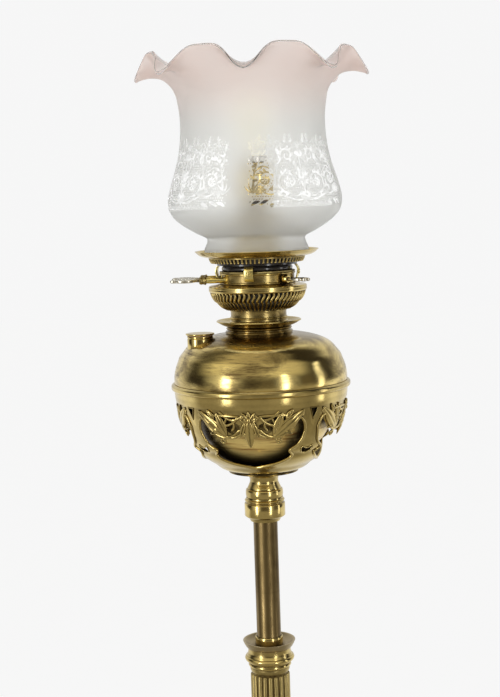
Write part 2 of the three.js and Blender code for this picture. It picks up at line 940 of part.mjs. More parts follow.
const crownRingShares = [[0.94, 0], [1, 0.14], [1, 0.8], [0.96, 1]];
piece(
  burner,
  "crown_ring",
  turned([
    [crownRingBore, 0],
    ...scaled(crownRingShares, crownRingRadius, crownRingHeight),
    [crownRingBore, crownRingHeight],
  ]),
  "black",
  crownRingRise,
);

function wickTube(side) {
  const body = block(wickTubeWidth, 2 * wickTubeHalf, -wickTubeLength, 0);
  const bore = block(wickWidth + 2 * wickGap, wickThickness + 2 * wickGap,
    -wickTubeLength - overrun, overrun);
  const windowHalf = wheelRadius + fit;
  const windowLevel = winderLevel - wickTubeTop;
  const window = block(wickWidth - 2 * wickTubeWall, wickTubeHalf,
    windowLevel - windowHalf, windowLevel + windowHalf);
  return cut(body, bore, window.translate(0, side * wickTubeHalf, 0));
}

function winder() {
  const keyHalfShares = [
    [0, 0.2], [0.12, 0.22], [0.2, 0.6], [0.45, 1], [0.75, 0.95], [0.95, 0.6], [1, 0.25], [0.9, 0],
  ];
  const keyEyeShares = [[0.34, 0.34], [0.74, 0.28], [0.8, 0.5], [0.62, 0.74], [0.42, 0.66]];
  const sleeveEnd = sleeveOuterReach + barrelLength;
  const keyStart = sleeveEnd + fit;
  const placed = (shares) =>
    shares.map(([along, across]) => [-keyStart - along * keyLength, across * keyHalfWidth]);
  const half = placed(keyHalfShares);
  const outline = [...half, ...half.slice(0, -1).reverse().map(([x, y]) => [x, -y])];
  const eye = placed(keyEyeShares);
  const key = plate(outline, keyThickness, [eye, eye.map(([x, y]) => [x, -y])]);
  const shaft = rodAlongX(spindleRadius, -keyStart - keyLength / 4, spindleReach, pinSides);
  const wheels = Array.from({ length: wheelCount }, (_, i) => {
    const middle = (i - (wheelCount - 1) / 2) * wheelSpacing;
    const from = middle - wheelWidth / 2;
    return rodAlongX(wheelRadius, from, from + wheelWidth);
  });
  return join(key, shaft, ...wheels);
}

for (const [name, side] of [["front", -1], ["back", 1]]) {
  const y = side * winderOffset;
  const tube = piece(burner, "wick_tube_" + name, wickTube(side), "dullBrass", wickTubeTop);
  tube.position.y = side * wickOffset;
  const sleeve = join(
    ringAlongX(sleeveRadius, spindleRadius + fit, -sleeveOuterReach - overrun, -sleeveInnerReach),
    ringAlongX(barrelRadius, spindleRadius + fit, -sleeveOuterReach - barrelLength,
      -sleeveOuterReach),
  );
  piece(burner, "winder_sleeve_" + name, sleeve, "brass", winderLevel).position.y = y;
  piece(burner, "winder_" + name, winder(), "brass", winderLevel).position.y = y;
  const wick = block(wickWidth, wickThickness, -wickLength, wickShown);
  piece(burner, "wick_" + name, wick, "cotton", wickTubeTop).position.y = side * wickOffset;
}

// Extinguisher: a lever in a bush, whose crank lifts the hood round both wick tubes
piece(
  burner,
  "lever_bush",
  ringAlongX(sleeveRadius, spindleRadius + fit, leverBushInner, leverBushOuter),
  "brass",
  winderLevel,
  degrees(leverTurn),
);
function snufferLever() {
  const wingHalfShares = [
    [0, 0.22], [0.15, 0.3], [0.4, 1], [0.8, 0.9], [1, 0.45], [0.86, 0],
  ];
  const wingEyeShares = [[0.32, 0.18], [0.72, 0.18], [0.78, 0.5], [0.46, 0.62]];
  const start = leverBushOuter + fit;
  const placed = (shares) =>
    shares.map(([along, across]) => [start + along * (leverReach - start), across * leverHalfWidth]);
  const half = placed(wingHalfShares);
  const outline = [...half, ...half.slice(0, -1).reverse().map(([x, y]) => [x, -y])];
  const eye = placed(wingEyeShares);
  const wing = plate(outline, keyThickness, [eye, eye.map(([x, y]) => [x, -y])]);
  const shaft = rodAlongX(spindleRadius, leverInnerReach, start + keyLength / 4, pinSides);
  const crank = new THREE.BoxGeometry(crankWidth, crankLength, 2 * spindleRadius)
    .translate(leverInnerReach + crankWidth / 2, crankLength / 2, 0)
    .rotateX(degrees(crankRest));
  return join(wing, shaft, crank);
}
piece(burner, "snuffer_lever", snufferLever(), "brass", winderLevel, degrees(leverTurn));

const hoodLevel = deckTop + fit;
function snufferHood() {
  const innerWidth = wickTubeWidth + 2 * fit;
  const innerDepth = 2 * (wickOffset + wickTubeHalf + fit);
  const outerWidth = innerWidth + 2 * hoodWall;
  const outerDepth = innerDepth + 2 * hoodWall;
  const sleeve = cut(
    block(outerWidth, outerDepth, 0, hoodHeight),
    block(innerWidth, innerDepth, -overrun, hoodHeight + overrun),
  );
  const tipLevel = winderLevel + crankLength * Math.sin(degrees(crankRest));
  const rodFoot = tipLevel + 2 * spindleRadius - hoodLevel;
  const rod = disc(hoodRodRadius, rodFoot, hoodWall, pinSides).translate(hoodRodX, hoodRodY, 0);
  const lug = plate(
    [
      [innerWidth / 2, 2 * hoodRodRadius - innerDepth / 2],
      [hoodRodX + hoodRodRadius, hoodRodY],
      [hoodRodX, hoodRodY - hoodRodRadius],
      [innerWidth / 2, -outerDepth / 2],
    ],
    hoodWall,
  ).translate(0, 0, hoodWall / 2);
  return join(sleeve, lug, rod);
}
piece(burner, "snuffer_hood", snufferHood(), "dullBrass", hoodLevel);

// Lampholder on a domed adaptor that stands on the deck
const adaptorShares = [
  [1, 0], [1, 0.19], [0.8, 0.41], [0.77, 0.6], [0.38, 0.82], [0.59, 0.95], [0.59, 1],
];
piece(
  burner,
  "adaptor_dome",
  shell(
    [...scaled(adaptorShares, adaptorRadius, adaptorHeight), [cableBore, adaptorHeight]],
    adaptorWall,
  ),
  "brass",
  adaptorRise,
);
const holderShares = [[0.5, 0], [0.9, 0.12], [1, 0.3], [1, 1]];
piece(
  burner,
  "lampholder_body",
  shell([[cableBore, 0], ...scaled(holderShares, holderRadius, holderHeight)], holderWall),
  "brass",
  holderRise,
);
piece(
  burner,
  "lampholder_sleeve",
  turned([
    [bulbCapRadius + fit, 0],
    [holderRadius, 0],
    [holderRadius, holderWall],
    [holderSleeveRadius, holderWall],
    [holderSleeveRadius, holderSleeveHeight],
    [bulbCapRadius + fit, holderSleeveHeight],
  ]),
  "brass",
  holderSleeveRise,
);
const insulatorRadius = holderRadius - holderWall - fit;
const insulator = ring(insulatorRadius, cableBushBore, 0, insulatorThickness);
piece(burner, "lampholder_insulator", insulator, "porcelain", insulatorLevel);
for (const [name, side] of [["left", -1], ["right", 1]]) {
  const pin = piece(burner, "contact_" + name, disc(pinRadius, seat, pinLength, pinSides), "brass");
  pin.position.set((side * pinSpacing) / 2, 0, insulatorTop);
}

// Bulb
const bulb = new THREE.Group();
bulb.position.z = bulbRise;
burner.add(bulb);
piece(
  bulb,
  "bulb_cap",
  turned(
    [
      [0, 0],
      [bulbCapRadius, 0],
      [bulbCapRadius, bulbCapHeight - bulbSkirtHeight],
      [bulbSkirtRadius, bulbCapHeight - bulbSkirtHeight],
      [bulbSkirtRadius, bulbCapHeight],
      [0, bulbCapHeight],
    ],
    smallSides,
  ),
  "nickel",
);
function bulbGlass() {
  const neck = bulbSkirtRadius - bulbWall;
  const start = Math.asin(neck / bulbRadius) * bulbShoulderShare;
  const ball = Array.from({ length: bulbSteps }, (_, i) => {
    const angle = start + ((Math.PI - start) * i) / bulbSteps;
    return [bulbRadius * Math.sin(angle), bulbHeight - bulbRadius - bulbRadius * Math.cos(angle)];
  });
  return shell([[neck, 0], ...ball, [0, bulbHeight]], bulbWall, smallSides);
}
piece(bulb, "bulb_glass", bulbGlass(), "opal", bulbCapHeight + seat);

// Gallery: toothed crown, tray for the shade and four clips that grip the deck
const gallery = new THREE.Group();
gallery.position.z = galleryRise;
gallery.rotation.z = degrees(galleryTurn);
burner.add(gallery);

function galleryCrown() {
  const crownLip = crownRingBore + fit;
  const outline = [
    [crownLip, 0],
    [crownFootRadius, 0],
    [(crownFootRadius + crownRadius) / 2, crownHeight * crownKneeShare],
    [crownRadius, crownHeight],
  ];
  const notch = block(crownRadius, crownNotchWidth, crownHeight - crownNotchDepth,
    crownHeight + overrun).translate(crownRadius, 0, 0);
  const notches = evenTurns(crownNotchCount).map((turn) => notch.clone().rotateZ(turn));
  return cut(shell(outline, crownWall, wideSides), ...notches);
}
piece(gallery, "gallery_crown", galleryCrown(), "dullBrass");
piece(
  gallery,
  "gallery_tray",
  turned(
    [
      [trayBore, 0],
      [crownRadius, 0],
      [(traySeatRadius + trayRadius) / 2, trayHeight * trayKneeShare],
      [trayRadius, trayHeight * trayRimShare],
      [trayRadius - trayFloor / 2, trayHeight],
      [(traySeatRadius + trayRadius) / 2, trayHeight * trayDishShare],
      [traySeatRadius, trayFloor],
      [trayBore, trayFloor],
    ],
    wideSides,
  ),
  "brass",
  trayRise,
);

function galleryClip() {
  const inner = deckRadius + fit;
  const path = [
    [inner, -seat],
    [inner + clipBulge, -clipHeight * clipBulgeShare],
    [inner, -clipHeight * clipWaistShare],
    [inner + clipBulge / 2, -clipHeight],
  ];
  const outer = offsetOutline(path, clipThickness).reverse();
  outer[outer.length - 1][1] = -seat;
  const leaf = frontPrism([...path, ...outer], -clipWidth / 2, clipWidth / 2);
  const bossFoot = inner + clipBulge;
  const bossFace = bossFoot + clipThickness + clipBossHeight;
  const boss = rodAlongX(clipBossRadius, bossFoot, bossFace, pinSides)
    .translate(0, 0, -clipHeight * clipBulgeShare);
  return join(leaf, boss);
}
["front", "right", "back", "left"].slice(0, clipCount).forEach((name, i) => {
  const turn = -Math.PI / 2 + (i * 2 * Math.PI) / clipCount;
  piece(gallery, "gallery_clip_" + name, galleryClip(), "brass", 0, turn);
});

// Shade: a tulip bowl that rises into a throat and opens in a frill of drooping lobes.
// The body's shares are of its belly and height; the frill's run from the body's rim to its spread.
const shadeBodyShares = [
  [0.59, 0], [0.564, 0.095], [0.604, 0.122], [0.891, 0.22], [0.966, 0.272], [1, 0.35],
  [0.95, 0.48], [0.853, 0.688], [0.831, 0.85], [0.855, 1],
];
const troughShares = [
  [0.043, 0.178], [0.148, 0.351], [0.322, 0.515], [0.494, 0.582], [0.706, 0.598], [1, 0.533],
];
const crestShares = [
  [0.07, 0.15], [0.18, 0.33], [0.34, 0.49], [0.55, 0.66], [0.8, 0.85], [1, 1],
];

function shadeProfile(turn) {
  const droop = (0.5 + 0.5 * Math.cos(lobeCount * turn)) ** lobeSharpness;
  const body = scaled(shadeBodyShares, shadeBellyRadius, shadeBodyHeight);
  const rim = body.at(-1)[0];
  const frill = troughShares.map(([troughAcross, troughUp], i) => {
    const [crestAcross, crestUp] = crestShares[i];
    const trough = troughAcross * (troughSpread - rim);
    const crest = crestAcross * (crestSpread - rim);
    const up = crestUp + (troughUp - crestUp) * droop;
    return [rim + crest + (trough - crest) * droop, shadeBodyHeight + up * frillHeight];
  });
  return [...body, ...frill];
}

function lobedShell() {
  const positions = [];
  const corners = [];
  const columns = evenTurns(shadeSides).map((turn) => {
    const outside = shadeProfile(turn);
    const inside = thinned(offsetOutline(outside, shadeWall)).reverse();
    return [...outside, ...inside].map(([radius, z]) => {
      positions.push(radius * Math.cos(turn), radius * Math.sin(turn), z);
      return positions.length / 3 - 1;
    });
  });
  columns.forEach((column, i) => {
    const next = columns[(i + 1) % columns.length];
    column.forEach((corner, k) => {
      const above = (k + 1) % column.length;
      corners.push(corner, next[k], next[above], corner, next[above], column[above]);
    });
  });
  const geometry = new THREE.BufferGeometry();
  geometry.setAttribute("position", new THREE.Float32BufferAttribute(positions, 3));
  geometry.setIndex(corners);
  return geometry;
}
const shadeTurn = degrees(lobeTurn - galleryTurn);
piece(gallery, "shade_glass", lobedShell(), "frosted", shadeRise, shadeTurn);

export default lamp;
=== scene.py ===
"""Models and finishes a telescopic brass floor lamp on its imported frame."""
import json
from math import atan2, cos, hypot, pi, radians, sin, sqrt, tau

import bmesh
import bpy
from bpy.props import FloatProperty, FloatVectorProperty, IntProperty, PointerProperty
from bpy.types import NodeSocket, Operator, Panel, PropertyGroup
from mathutils import Matrix, Vector
from mathutils.kdtree import KDTree


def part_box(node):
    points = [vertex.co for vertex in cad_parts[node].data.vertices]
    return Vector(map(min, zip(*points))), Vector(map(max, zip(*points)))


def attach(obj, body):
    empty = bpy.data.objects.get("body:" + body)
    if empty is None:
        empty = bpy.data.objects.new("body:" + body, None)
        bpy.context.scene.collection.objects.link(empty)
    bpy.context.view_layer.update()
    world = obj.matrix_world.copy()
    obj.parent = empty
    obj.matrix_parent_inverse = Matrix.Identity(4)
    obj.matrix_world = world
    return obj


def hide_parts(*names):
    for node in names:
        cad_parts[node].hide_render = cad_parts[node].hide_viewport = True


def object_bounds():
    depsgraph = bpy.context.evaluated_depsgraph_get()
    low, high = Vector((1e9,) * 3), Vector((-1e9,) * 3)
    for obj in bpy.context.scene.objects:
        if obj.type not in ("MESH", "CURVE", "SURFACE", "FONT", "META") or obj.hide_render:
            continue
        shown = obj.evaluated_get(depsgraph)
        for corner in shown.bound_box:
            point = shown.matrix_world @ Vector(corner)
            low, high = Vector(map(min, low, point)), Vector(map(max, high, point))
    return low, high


bl_info = {
    "name": "Floor Oil Lamp",
    "version": (1, 0, 0),
    "blender": (4, 5, 0),
    "location": "3D View > Sidebar > Lamp",
    "description": "Models and finishes the pieces of a telescopic brass floor lamp",
    "category": "Object",
}

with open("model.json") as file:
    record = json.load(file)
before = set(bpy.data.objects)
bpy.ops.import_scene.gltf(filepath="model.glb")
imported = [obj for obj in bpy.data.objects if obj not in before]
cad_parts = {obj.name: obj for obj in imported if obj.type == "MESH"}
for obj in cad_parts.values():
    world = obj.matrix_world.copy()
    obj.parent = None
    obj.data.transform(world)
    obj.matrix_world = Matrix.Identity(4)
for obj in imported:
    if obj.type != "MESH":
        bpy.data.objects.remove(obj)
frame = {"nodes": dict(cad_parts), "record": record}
CAD_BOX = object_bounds()
MM = 0.001
WELD = MM / 1000
BODY_OF = {node: body for body, nodes in frame["record"]["behaviour"]["bodies"].items() for node in nodes}
SLOT_OF = {part["node"]: part["material_slot"] for part in frame["record"]["subparts"]}
CORNERS = ("front_right", "back_right", "back_left", "front_left")
SIDES = ("front", "right", "back", "left")


# Sizes and colours that a user may change
class LampSizes(PropertyGroup):
    """Counts and small sizes of the lamp's trim"""
    turned_sides: IntProperty(
        name="Turned sides", description="Flats round a turned piece", default=96, min=24)
    edge_round: FloatProperty(
        name="Edge round", description="Rounding of the turned edges", default=0.00025,
        subtype="DISTANCE", unit="LENGTH")
    reed_count: IntProperty(
        name="Reeds", description="Reeds round the column", default=20, min=8)
    rib_count: IntProperty(
        name="Ribs", description="S-shaped ribs round the burner's air bowl", default=60, min=12)
    tooth_count: IntProperty(
        name="Teeth", description="Teeth round the gallery's crown", default=70, min=12)
    rim_thickness: FloatProperty(
        name="Rim thickness", description="Raised rims round the cradle's openings",
        default=0.0014, subtype="DISTANCE", unit="LENGTH")


class LampColours(PropertyGroup):
    """Colours of the lamp's finishes"""
    brass: FloatVectorProperty(
        name="Brass", description="Polished brass", size=3, subtype="COLOR",
        default=(0.75, 0.585, 0.23))
    patina: FloatVectorProperty(
        name="Patina", description="Old lacquer and tarnish in the hollows", size=3,
        subtype="COLOR", default=(0.17, 0.115, 0.045))
    frost: FloatVectorProperty(
        name="Frost", description="Acid-frosted glass", size=3, subtype="COLOR",
        default=(0.90, 0.90, 0.87))
    blush: FloatVectorProperty(
        name="Blush", description="Pink tint near the shade's rim", size=3, subtype="COLOR",
        default=(0.92, 0.70, 0.62))


# Modelling helpers
def deselect():
    """Takes every piece out of the selection."""
    for piece in list(bpy.context.selected_objects):
        piece.select_set(False)


def choose(*pieces):
    """Selects these pieces alone, with the first one active."""
    deselect()
    for piece in pieces:
        piece.select_set(True)
    bpy.context.view_layer.objects.active = pieces[0]
    return pieces[0]


def begin_edit(piece, select=True):
    """Opens a piece in edit mode, with all of it selected or none."""
    choose(piece)
    bpy.ops.object.mode_set(mode="EDIT")
    bpy.ops.mesh.select_all(action="SELECT" if select else "DESELECT")


def end_edit():
    bpy.ops.object.mode_set(mode="OBJECT")


def added(primitive, name, **settings):
    """Adds a primitive of the mesh menu and names it."""
    deselect()
    getattr(bpy.ops.mesh, "primitive_" + primitive + "_add")(**settings)
    bpy.context.object.name = name
    return bpy.context.object


def smooth(piece, angle=35):
    """Smooth shading, but for edges sharper than an angle in degrees."""
    choose(piece)
    bpy.ops.object.shade_smooth_by_angle(angle=radians(angle))
    return piece


def applied(piece, kind, **settings):
    """Gives a piece one modifier and applies it."""
    choose(piece)
    modifier = piece.modifiers.new(kind.title(), kind)
    for key, value in settings.items():
        setattr(modifier, key, value)
    bpy.ops.object.modifier_apply(modifier=modifier.name)
    return piece


def joined(name, *pieces):
    """Joins pieces into the first one, under a new name."""
    choose(*pieces)
    bpy.ops.object.join()
    pieces[0].name = name
    return pieces[0]


def placed(piece, move=(0, 0, 0), turn=0.0, tilt=(0, 0), scale=(1, 1, 1)):
    """Scales a piece, tilts it about X and Y, turns it about Z, moves it, and applies all four."""
    choose(piece)
    piece.matrix_world = (
        Matrix.Translation(move) @ Matrix.Rotation(turn, 4, "Z") @ Matrix.Rotation(tilt[1], 4, "Y")
        @ Matrix.Rotation(tilt[0], 4, "X") @ Matrix.Diagonal((*scale, 1)) @ piece.matrix_world)
    bpy.ops.object.transform_apply()
    return piece


def outward(piece):
    """Turns all faces of a piece outwards."""
    begin_edit(piece)
    bpy.ops.mesh.normals_make_consistent(inside=False)
    end_edit()


def ball(name, radius, segments=16, rings=10):
    """A small ball, the start of beads, toes and leaves."""
    return added("uv_sphere", name, radius=radius, segments=segments, ring_count=rings)


def copied(piece, name):
    """A second piece with a mesh of its own."""
    twin = piece.copy()
    twin.data = piece.data.copy()
    twin.name = name
    bpy.context.scene.collection.objects.link(twin)
    return twin


def around(piece, count):
    """Repeats a piece evenly round Z, within its own mesh."""
    begin_edit(piece)
    steps = count - 1
    bpy.ops.mesh.spin(steps=steps, dupli=True, angle=tau * steps / count, center=(0, 0, 0), axis=(0, 0, 1))
    end_edit()
    return piece


def curve(*points, steps=4):
    """A smooth run through points, with a few steps in each span."""
    ends = [points[0], *points, points[-1]]
    run = []
    for a, b, c, d in zip(ends, ends[1:], ends[2:], ends[3:]):
        for step in range(steps):
            t = step / steps
            run.append(tuple(
                0.5 * (2 * q + (r - p) * t + (2 * p - 5 * q + 4 * r - s) * t * t
                       + (3 * q - p - 3 * r + s) * t ** 3)
                for p, q, r, s in zip(a, b, c, d)))
    return [*run, points[-1]]


def mirrored(outline):
    """A flat outline reflected left to right."""
    return [(-x, z) for x, z in outline]


def tinted(colour, share):
    """A colour made lighter or darker."""
    return tuple(min(1, part * share) for part in colour)


def outlined(name, points, closed=True):
    """A chain of edges through points in space, drawn from one vertex by extrusion."""
    piece = added("plane", name, size=MM)
    bpy.ops.object.mode_set(mode="EDIT")
    bpy.ops.mesh.merge(type="CENTER")
    bpy.ops.transform.translate(value=points[0])
    chain = [*points, points[0]] if closed else points
    for here, there in zip(chain, chain[1:]):
        step = Vector(there) - Vector(here)
        bpy.ops.mesh.extrude_vertices_move(TRANSFORM_OT_translate={"value": step})
    bpy.ops.mesh.select_all(action="SELECT")
    return piece


def slab(name, points, depth):
    """A body drawn back along Y from a flat outline. It is left in edit mode, all selected."""
    piece = outlined(name, points)
    bpy.ops.mesh.remove_doubles(threshold=WELD)
    bpy.ops.mesh.edge_face_add()
    bpy.ops.mesh.extrude_region_move(TRANSFORM_OT_translate={"value": (0, depth, 0)})
    bpy.ops.mesh.select_all(action="SELECT")
    bpy.ops.mesh.normals_make_consistent(inside=False)
    return piece


def turned(name, outline, sides=None, bevel=None):
    """A body turned about Z from an outline of (radius, height)."""
    sizes = bpy.context.scene.lamp_sizes
    solid = outline[0][0] < MM / 100 and outline[-1][0] < MM / 100
    piece = outlined(name, [(radius, 0, height) for radius, height in outline], closed=not solid)
    sides = sides or sizes.turned_sides
    bpy.ops.mesh.remove_doubles(threshold=WELD)
    bpy.ops.mesh.spin(steps=sides, angle=tau, center=(0, 0, 0), axis=(0, 0, 1))
    bpy.ops.mesh.select_all(action="SELECT")
    bpy.ops.mesh.remove_doubles(threshold=WELD)
    bpy.ops.mesh.normals_make_consistent(inside=False)
    end_edit()
    width = sizes.edge_round if bevel is None else bevel
    if width:
        applied(piece, "BEVEL", width=width, segments=2, limit_method="ANGLE", angle_limit=radians(40))
    return smooth(piece)


def strand(name, points, radius, rings=2, closed=False, thin=None):
    """A round wire along points. thin gives its radius share at each point."""
    deselect()
    bpy.ops.curve.primitive_nurbs_path_add()
    piece = bpy.context.object
    piece.name = name
    piece.data.splines.clear()
    spline = piece.data.splines.new("POLY")
    spline.points.add(len(points) - 1)
    for i, place in enumerate(points):
        spline.points[i].co = (*place, 1)
        spline.points[i].radius = thin[i] if thin else 1
    spline.use_cyclic_u = closed
    piece.data.dimensions = "3D"
    piece.data.bevel_depth = radius
    piece.data.bevel_resolution = rings
    piece.data.use_fill_caps = not closed
    choose(piece)
    bpy.ops.object.convert(target="MESH")
    piece = bpy.context.object
    choose(piece)
    bpy.ops.object.shade_smooth()
    return piece


def spot(node):
    """Middle of a node in plan, its largest radius from the lamp's axis, its bottom and its height."""
    low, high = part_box(node)
    radius = max(high.x, -low.x, high.y, -low.y)
    return (low + high) / 2, radius, low.z, high.z - low.z


def sized(node, shares, about_axis=True):
    """Outline shares of a node's own radius and height, as lengths."""
    _, radius, bottom, height = spot(node)
    low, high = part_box(node)
    radius = radius if about_axis else (high.x - low.x) / 2
    return [(across * radius, bottom + up * height) for across, up in shares]


def dress(piece, node, finish, *more_nodes, hide=True):
    """Gives a piece its finish and its body, and lets it stand for its nodes."""
    piece.data.materials.clear()
    piece.data.materials.append(finish)
    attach(piece, BODY_OF[node])
    if hide:
        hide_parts(node, *more_nodes)
    return piece


# Finishes
# How far the painted shade between close pieces reaches: near for most brass, far for the relief and for the
# bowl inside the cradle
CLOSE_SHADE_REACH = 0.005
DEEP_SHADE_REACH = 0.012
WHITE = (1, 1, 1)


class Nodes:
    """A node tree, with short ways to add to it"""

    def __init__(self, tree):
        self.tree = tree

    def add(self, kind, inputs=None, **settings):
        """A node with its inputs fed and its settings made."""
        node = self.tree.nodes.new(kind)
        for key, value in settings.items():
            setattr(node, key, value)
        for key, value in (inputs or {}).items():
            self.feed(node.inputs[key], value)
        return node

    def feed(self, socket, value):
        """Links a socket to an input, or sets a plain value on it."""
        if isinstance(value, NodeSocket):
            self.tree.links.new(value, socket)
        else:
            socket.default_value = value

    def ramp(self, value, *stops):
        """A value turned into a grey or a colour by (position, grey or colour) stops."""
        node = self.add("ShaderNodeValToRGB", {"Fac": value})
        elements = node.color_ramp.elements
        for i, (position, shade) in enumerate(stops):
            element = elements[i] if i < len(elements) else elements.new(position)
            element.position = position
            element.color = (*shade, 1) if hasattr(shade, "__len__") else (shade, shade, shade, 1)
        return node.outputs["Color"]

    def mixed(self, share, one, other, blend="MIX"):
        """A share of the other colour over the first."""
        node = self.add("ShaderNodeMix", data_type="RGBA", blend_type=blend)
        for socket, value in ((node.inputs[0], share), (node.inputs[6], one), (node.inputs[7], other)):
            is_colour = hasattr(value, "__len__") and not isinstance(value, NodeSocket)
            self.feed(socket, (*value, 1) if is_colour else value)
        return node.outputs[2]

    def sum(self, kind, one, other=0.0, third=0.0, clamp=False):
        """One step of arithmetic."""
        node = self.add("ShaderNodeMath", operation=kind, use_clamp=clamp)
        for socket, value in zip(node.inputs, (one, other, third)):
            self.feed(socket, value)
        return node.outputs[0]

    def rays(self, *kinds):
        """1 for the given kinds of ray and 0 for the others."""
        path = self.add("ShaderNodeLightPath")
        value = path.outputs[kinds[0]]
        for kind in kinds[1:]:
            value = self.sum("MAXIMUM", value, path.outputs[kind])
        return value


class Finish(Nodes):
    """A material, built from nodes that read the lamp's own coordinates"""

    def __init__(self, name, metallic=0.0, roughness=0.5, **settings):
        self.material = bpy.data.materials.new(name)
        self.material.use_nodes = True
        super().__init__(self.material.node_tree)
        self.shader = self.tree.nodes["Principled BSDF"]
        self.place = self.add("ShaderNodeTexCoord").outputs["Object"]
        self.set(Metallic=metallic, Roughness=roughness, **settings)

    def set(self, **inputs):
        """Feeds inputs of the surface shader."""
        for key, value in inputs.items():
            self.feed(self.shader.inputs[key.replace("_", " ")], value)

    def stretched(self, scale):
        return self.add("ShaderNodeMapping", {"Vector": self.place, "Scale": scale}).outputs[0]

    def noise(self, scale, detail=4, rough=0.55, stretch=None, distortion=0.0):
        """Cloudy noise from 0 to 1, drawn out along the axes with small stretches."""
        place = self.stretched(stretch) if stretch else self.place
        return self.add("ShaderNodeTexNoise", {
            "Vector": place, "Scale": scale, "Detail": detail, "Roughness": rough,
            "Distortion": distortion}).outputs["Fac"]

    def bump(self, height, depth, strength=1.0, below=None):
        inputs = {"Height": height, "Distance": depth, "Strength": strength}
        if below:
            inputs["Normal"] = below
        return self.add("ShaderNodeBump", inputs).outputs[0]

    def painted_shade(self, distance):
        """Painted shade: 1 deep between pieces, where little light reaches, and 0 in the open."""
        seen = self.add("ShaderNodeAmbientOcclusion", {"Distance": distance}, samples=6).outputs["AO"]
        return self.ramp(seen, (0.4, 1), (0.9, 0))

    def hollows(self):
        """0 in hollows and 1 on open faces and edges."""
        return self.ramp(self.add("ShaderNodeNewGeometry").outputs["Pointiness"], (0.44, 0), (0.52, 1))

    def between(self, value, start, end):
        """0 at the start and 1 at the end, with soft ends."""
        return self.add("ShaderNodeMapRange", {"Value": value, "From Min": start, "From Max": end},
                        interpolation_type="SMOOTHSTEP").outputs[0]

    def parts(self):
        """Radius from the axis, turn round it and height, as values."""
        split = self.add("ShaderNodeSeparateXYZ", {"Vector": self.place})
        radius = self.sum("SQRT", self.sum("ADD", self.sum("POWER", split.outputs[0], 2.0),
                                           self.sum("POWER", split.outputs[1], 2.0)))
        return radius, self.sum("ARCTAN2", split.outputs[1], split.outputs[0]), split.outputs[2]


def brass_finish(name, brass, patina, rough=(0.1, 0.3), streak=(1, 1, 1), wear=0.5, shade_reach=CLOSE_SHADE_REACH):
    """Old polished brass: a warm metal under thin brown patina that gathers in hollows, darkened further by
    painted shade where pieces stand close together.
    """
    made = Finish(name, metallic=1.0)
    cloud = made.noise(38, 5, 0.6, stretch=streak)
    grain = made.noise(420, 3, 0.6, stretch=streak)
    fine = made.noise(1500, 2, 0.5)
    tarnish = made.ramp(cloud, (0.42, 0), (0.72, 1))
    tarnish = made.mixed(0.35, tarnish, made.ramp(grain, (0.45, 0), (0.75, 1)))
    patina_and_shade = made.sum("SUBTRACT", 1.0, made.hollows(), clamp=True)
    # Painted shade: the brass darkens towards the patina where other pieces crowd round it
    patina_and_shade = made.sum("MAXIMUM", patina_and_shade, made.sum("MULTIPLY", made.painted_shade(shade_reach), 0.9))
    amount = made.sum("MULTIPLY_ADD", tarnish, wear, patina_and_shade, clamp=True)
    bright = made.mixed(made.ramp(grain, (0.3, 0), (0.7, 1)), brass, tinted(brass, 1.22))
    made.set(Base_Color=made.mixed(amount, bright, patina))
    low, high = rough
    spread = made.sum("MULTIPLY_ADD", amount, high - low, low)
    made.set(Roughness=made.sum("MULTIPLY_ADD", fine, 0.06, spread, clamp=True))
    dents = made.bump(cloud, 0.0004, 0.14)
    made.set(Normal=made.bump(grain, 0.0001, 0.14, dents))
    return made.material


def dome_finish(name, brass, patina, neck):
    """Polished brass, brown round its neck, with long scratches where it was rubbed."""
    made = Finish(name, metallic=1.0)
    stain_depth = 0.018
    rubbed_right, rubbed_left = 0.05, -0.04
    rubbed_foot, rubbed_head = neck - 0.05, neck - 0.034
    radius, turn, height = made.parts()
    ringed = made.add("ShaderNodeCombineXYZ", {
        "X": made.sum("MULTIPLY", turn, 0.006), "Y": radius, "Z": height})
    scratch = made.add("ShaderNodeTexNoise", {
        "Vector": ringed.outputs[0], "Scale": 700.0, "Detail": 5.0, "Roughness": 0.65}).outputs["Fac"]
    cloud = made.noise(24, 5, 0.62, stretch=(1, 1, 2.2), distortion=0.6)
    near_neck = made.between(height, neck - stain_depth, neck)
    stained = made.sum("MULTIPLY_ADD", near_neck, 0.34, cloud)
    stain = made.ramp(stained, (0.46, 0), (0.66, 1))
    side = made.add("ShaderNodeSeparateXYZ", {"Vector": made.place}).outputs[0]
    rubbed = made.sum("MULTIPLY", made.between(side, rubbed_right, rubbed_left),
                      made.between(height, rubbed_foot, rubbed_head))
    rubbed = made.sum("MULTIPLY", rubbed, made.ramp(made.noise(30, 3), (0.4, 0.2), (0.6, 1)))
    scored = made.sum("MULTIPLY", made.ramp(scratch, (0.5, 0), (0.64, 1)), rubbed)
    worn = made.mixed(made.ramp(cloud, (0.35, 0), (0.6, 1)), tinted(brass, 1.2), brass)
    amount = made.sum("ADD", made.sum("MULTIPLY", stain, 0.8), made.sum("MULTIPLY", scored, 0.8), clamp=True)
    made.set(Base_Color=made.mixed(amount, worn, patina))
    gloss = made.sum("MULTIPLY_ADD", made.ramp(cloud, (0.4, 0), (0.7, 1)), 0.1, 0.14)
    made.set(Roughness=made.sum("MULTIPLY_ADD", scored, 0.25, gloss))
    made.set(Normal=made.bump(scratch, 0.00008, 0.22, made.bump(cloud, 0.0005, 0.12)))
    return made.material


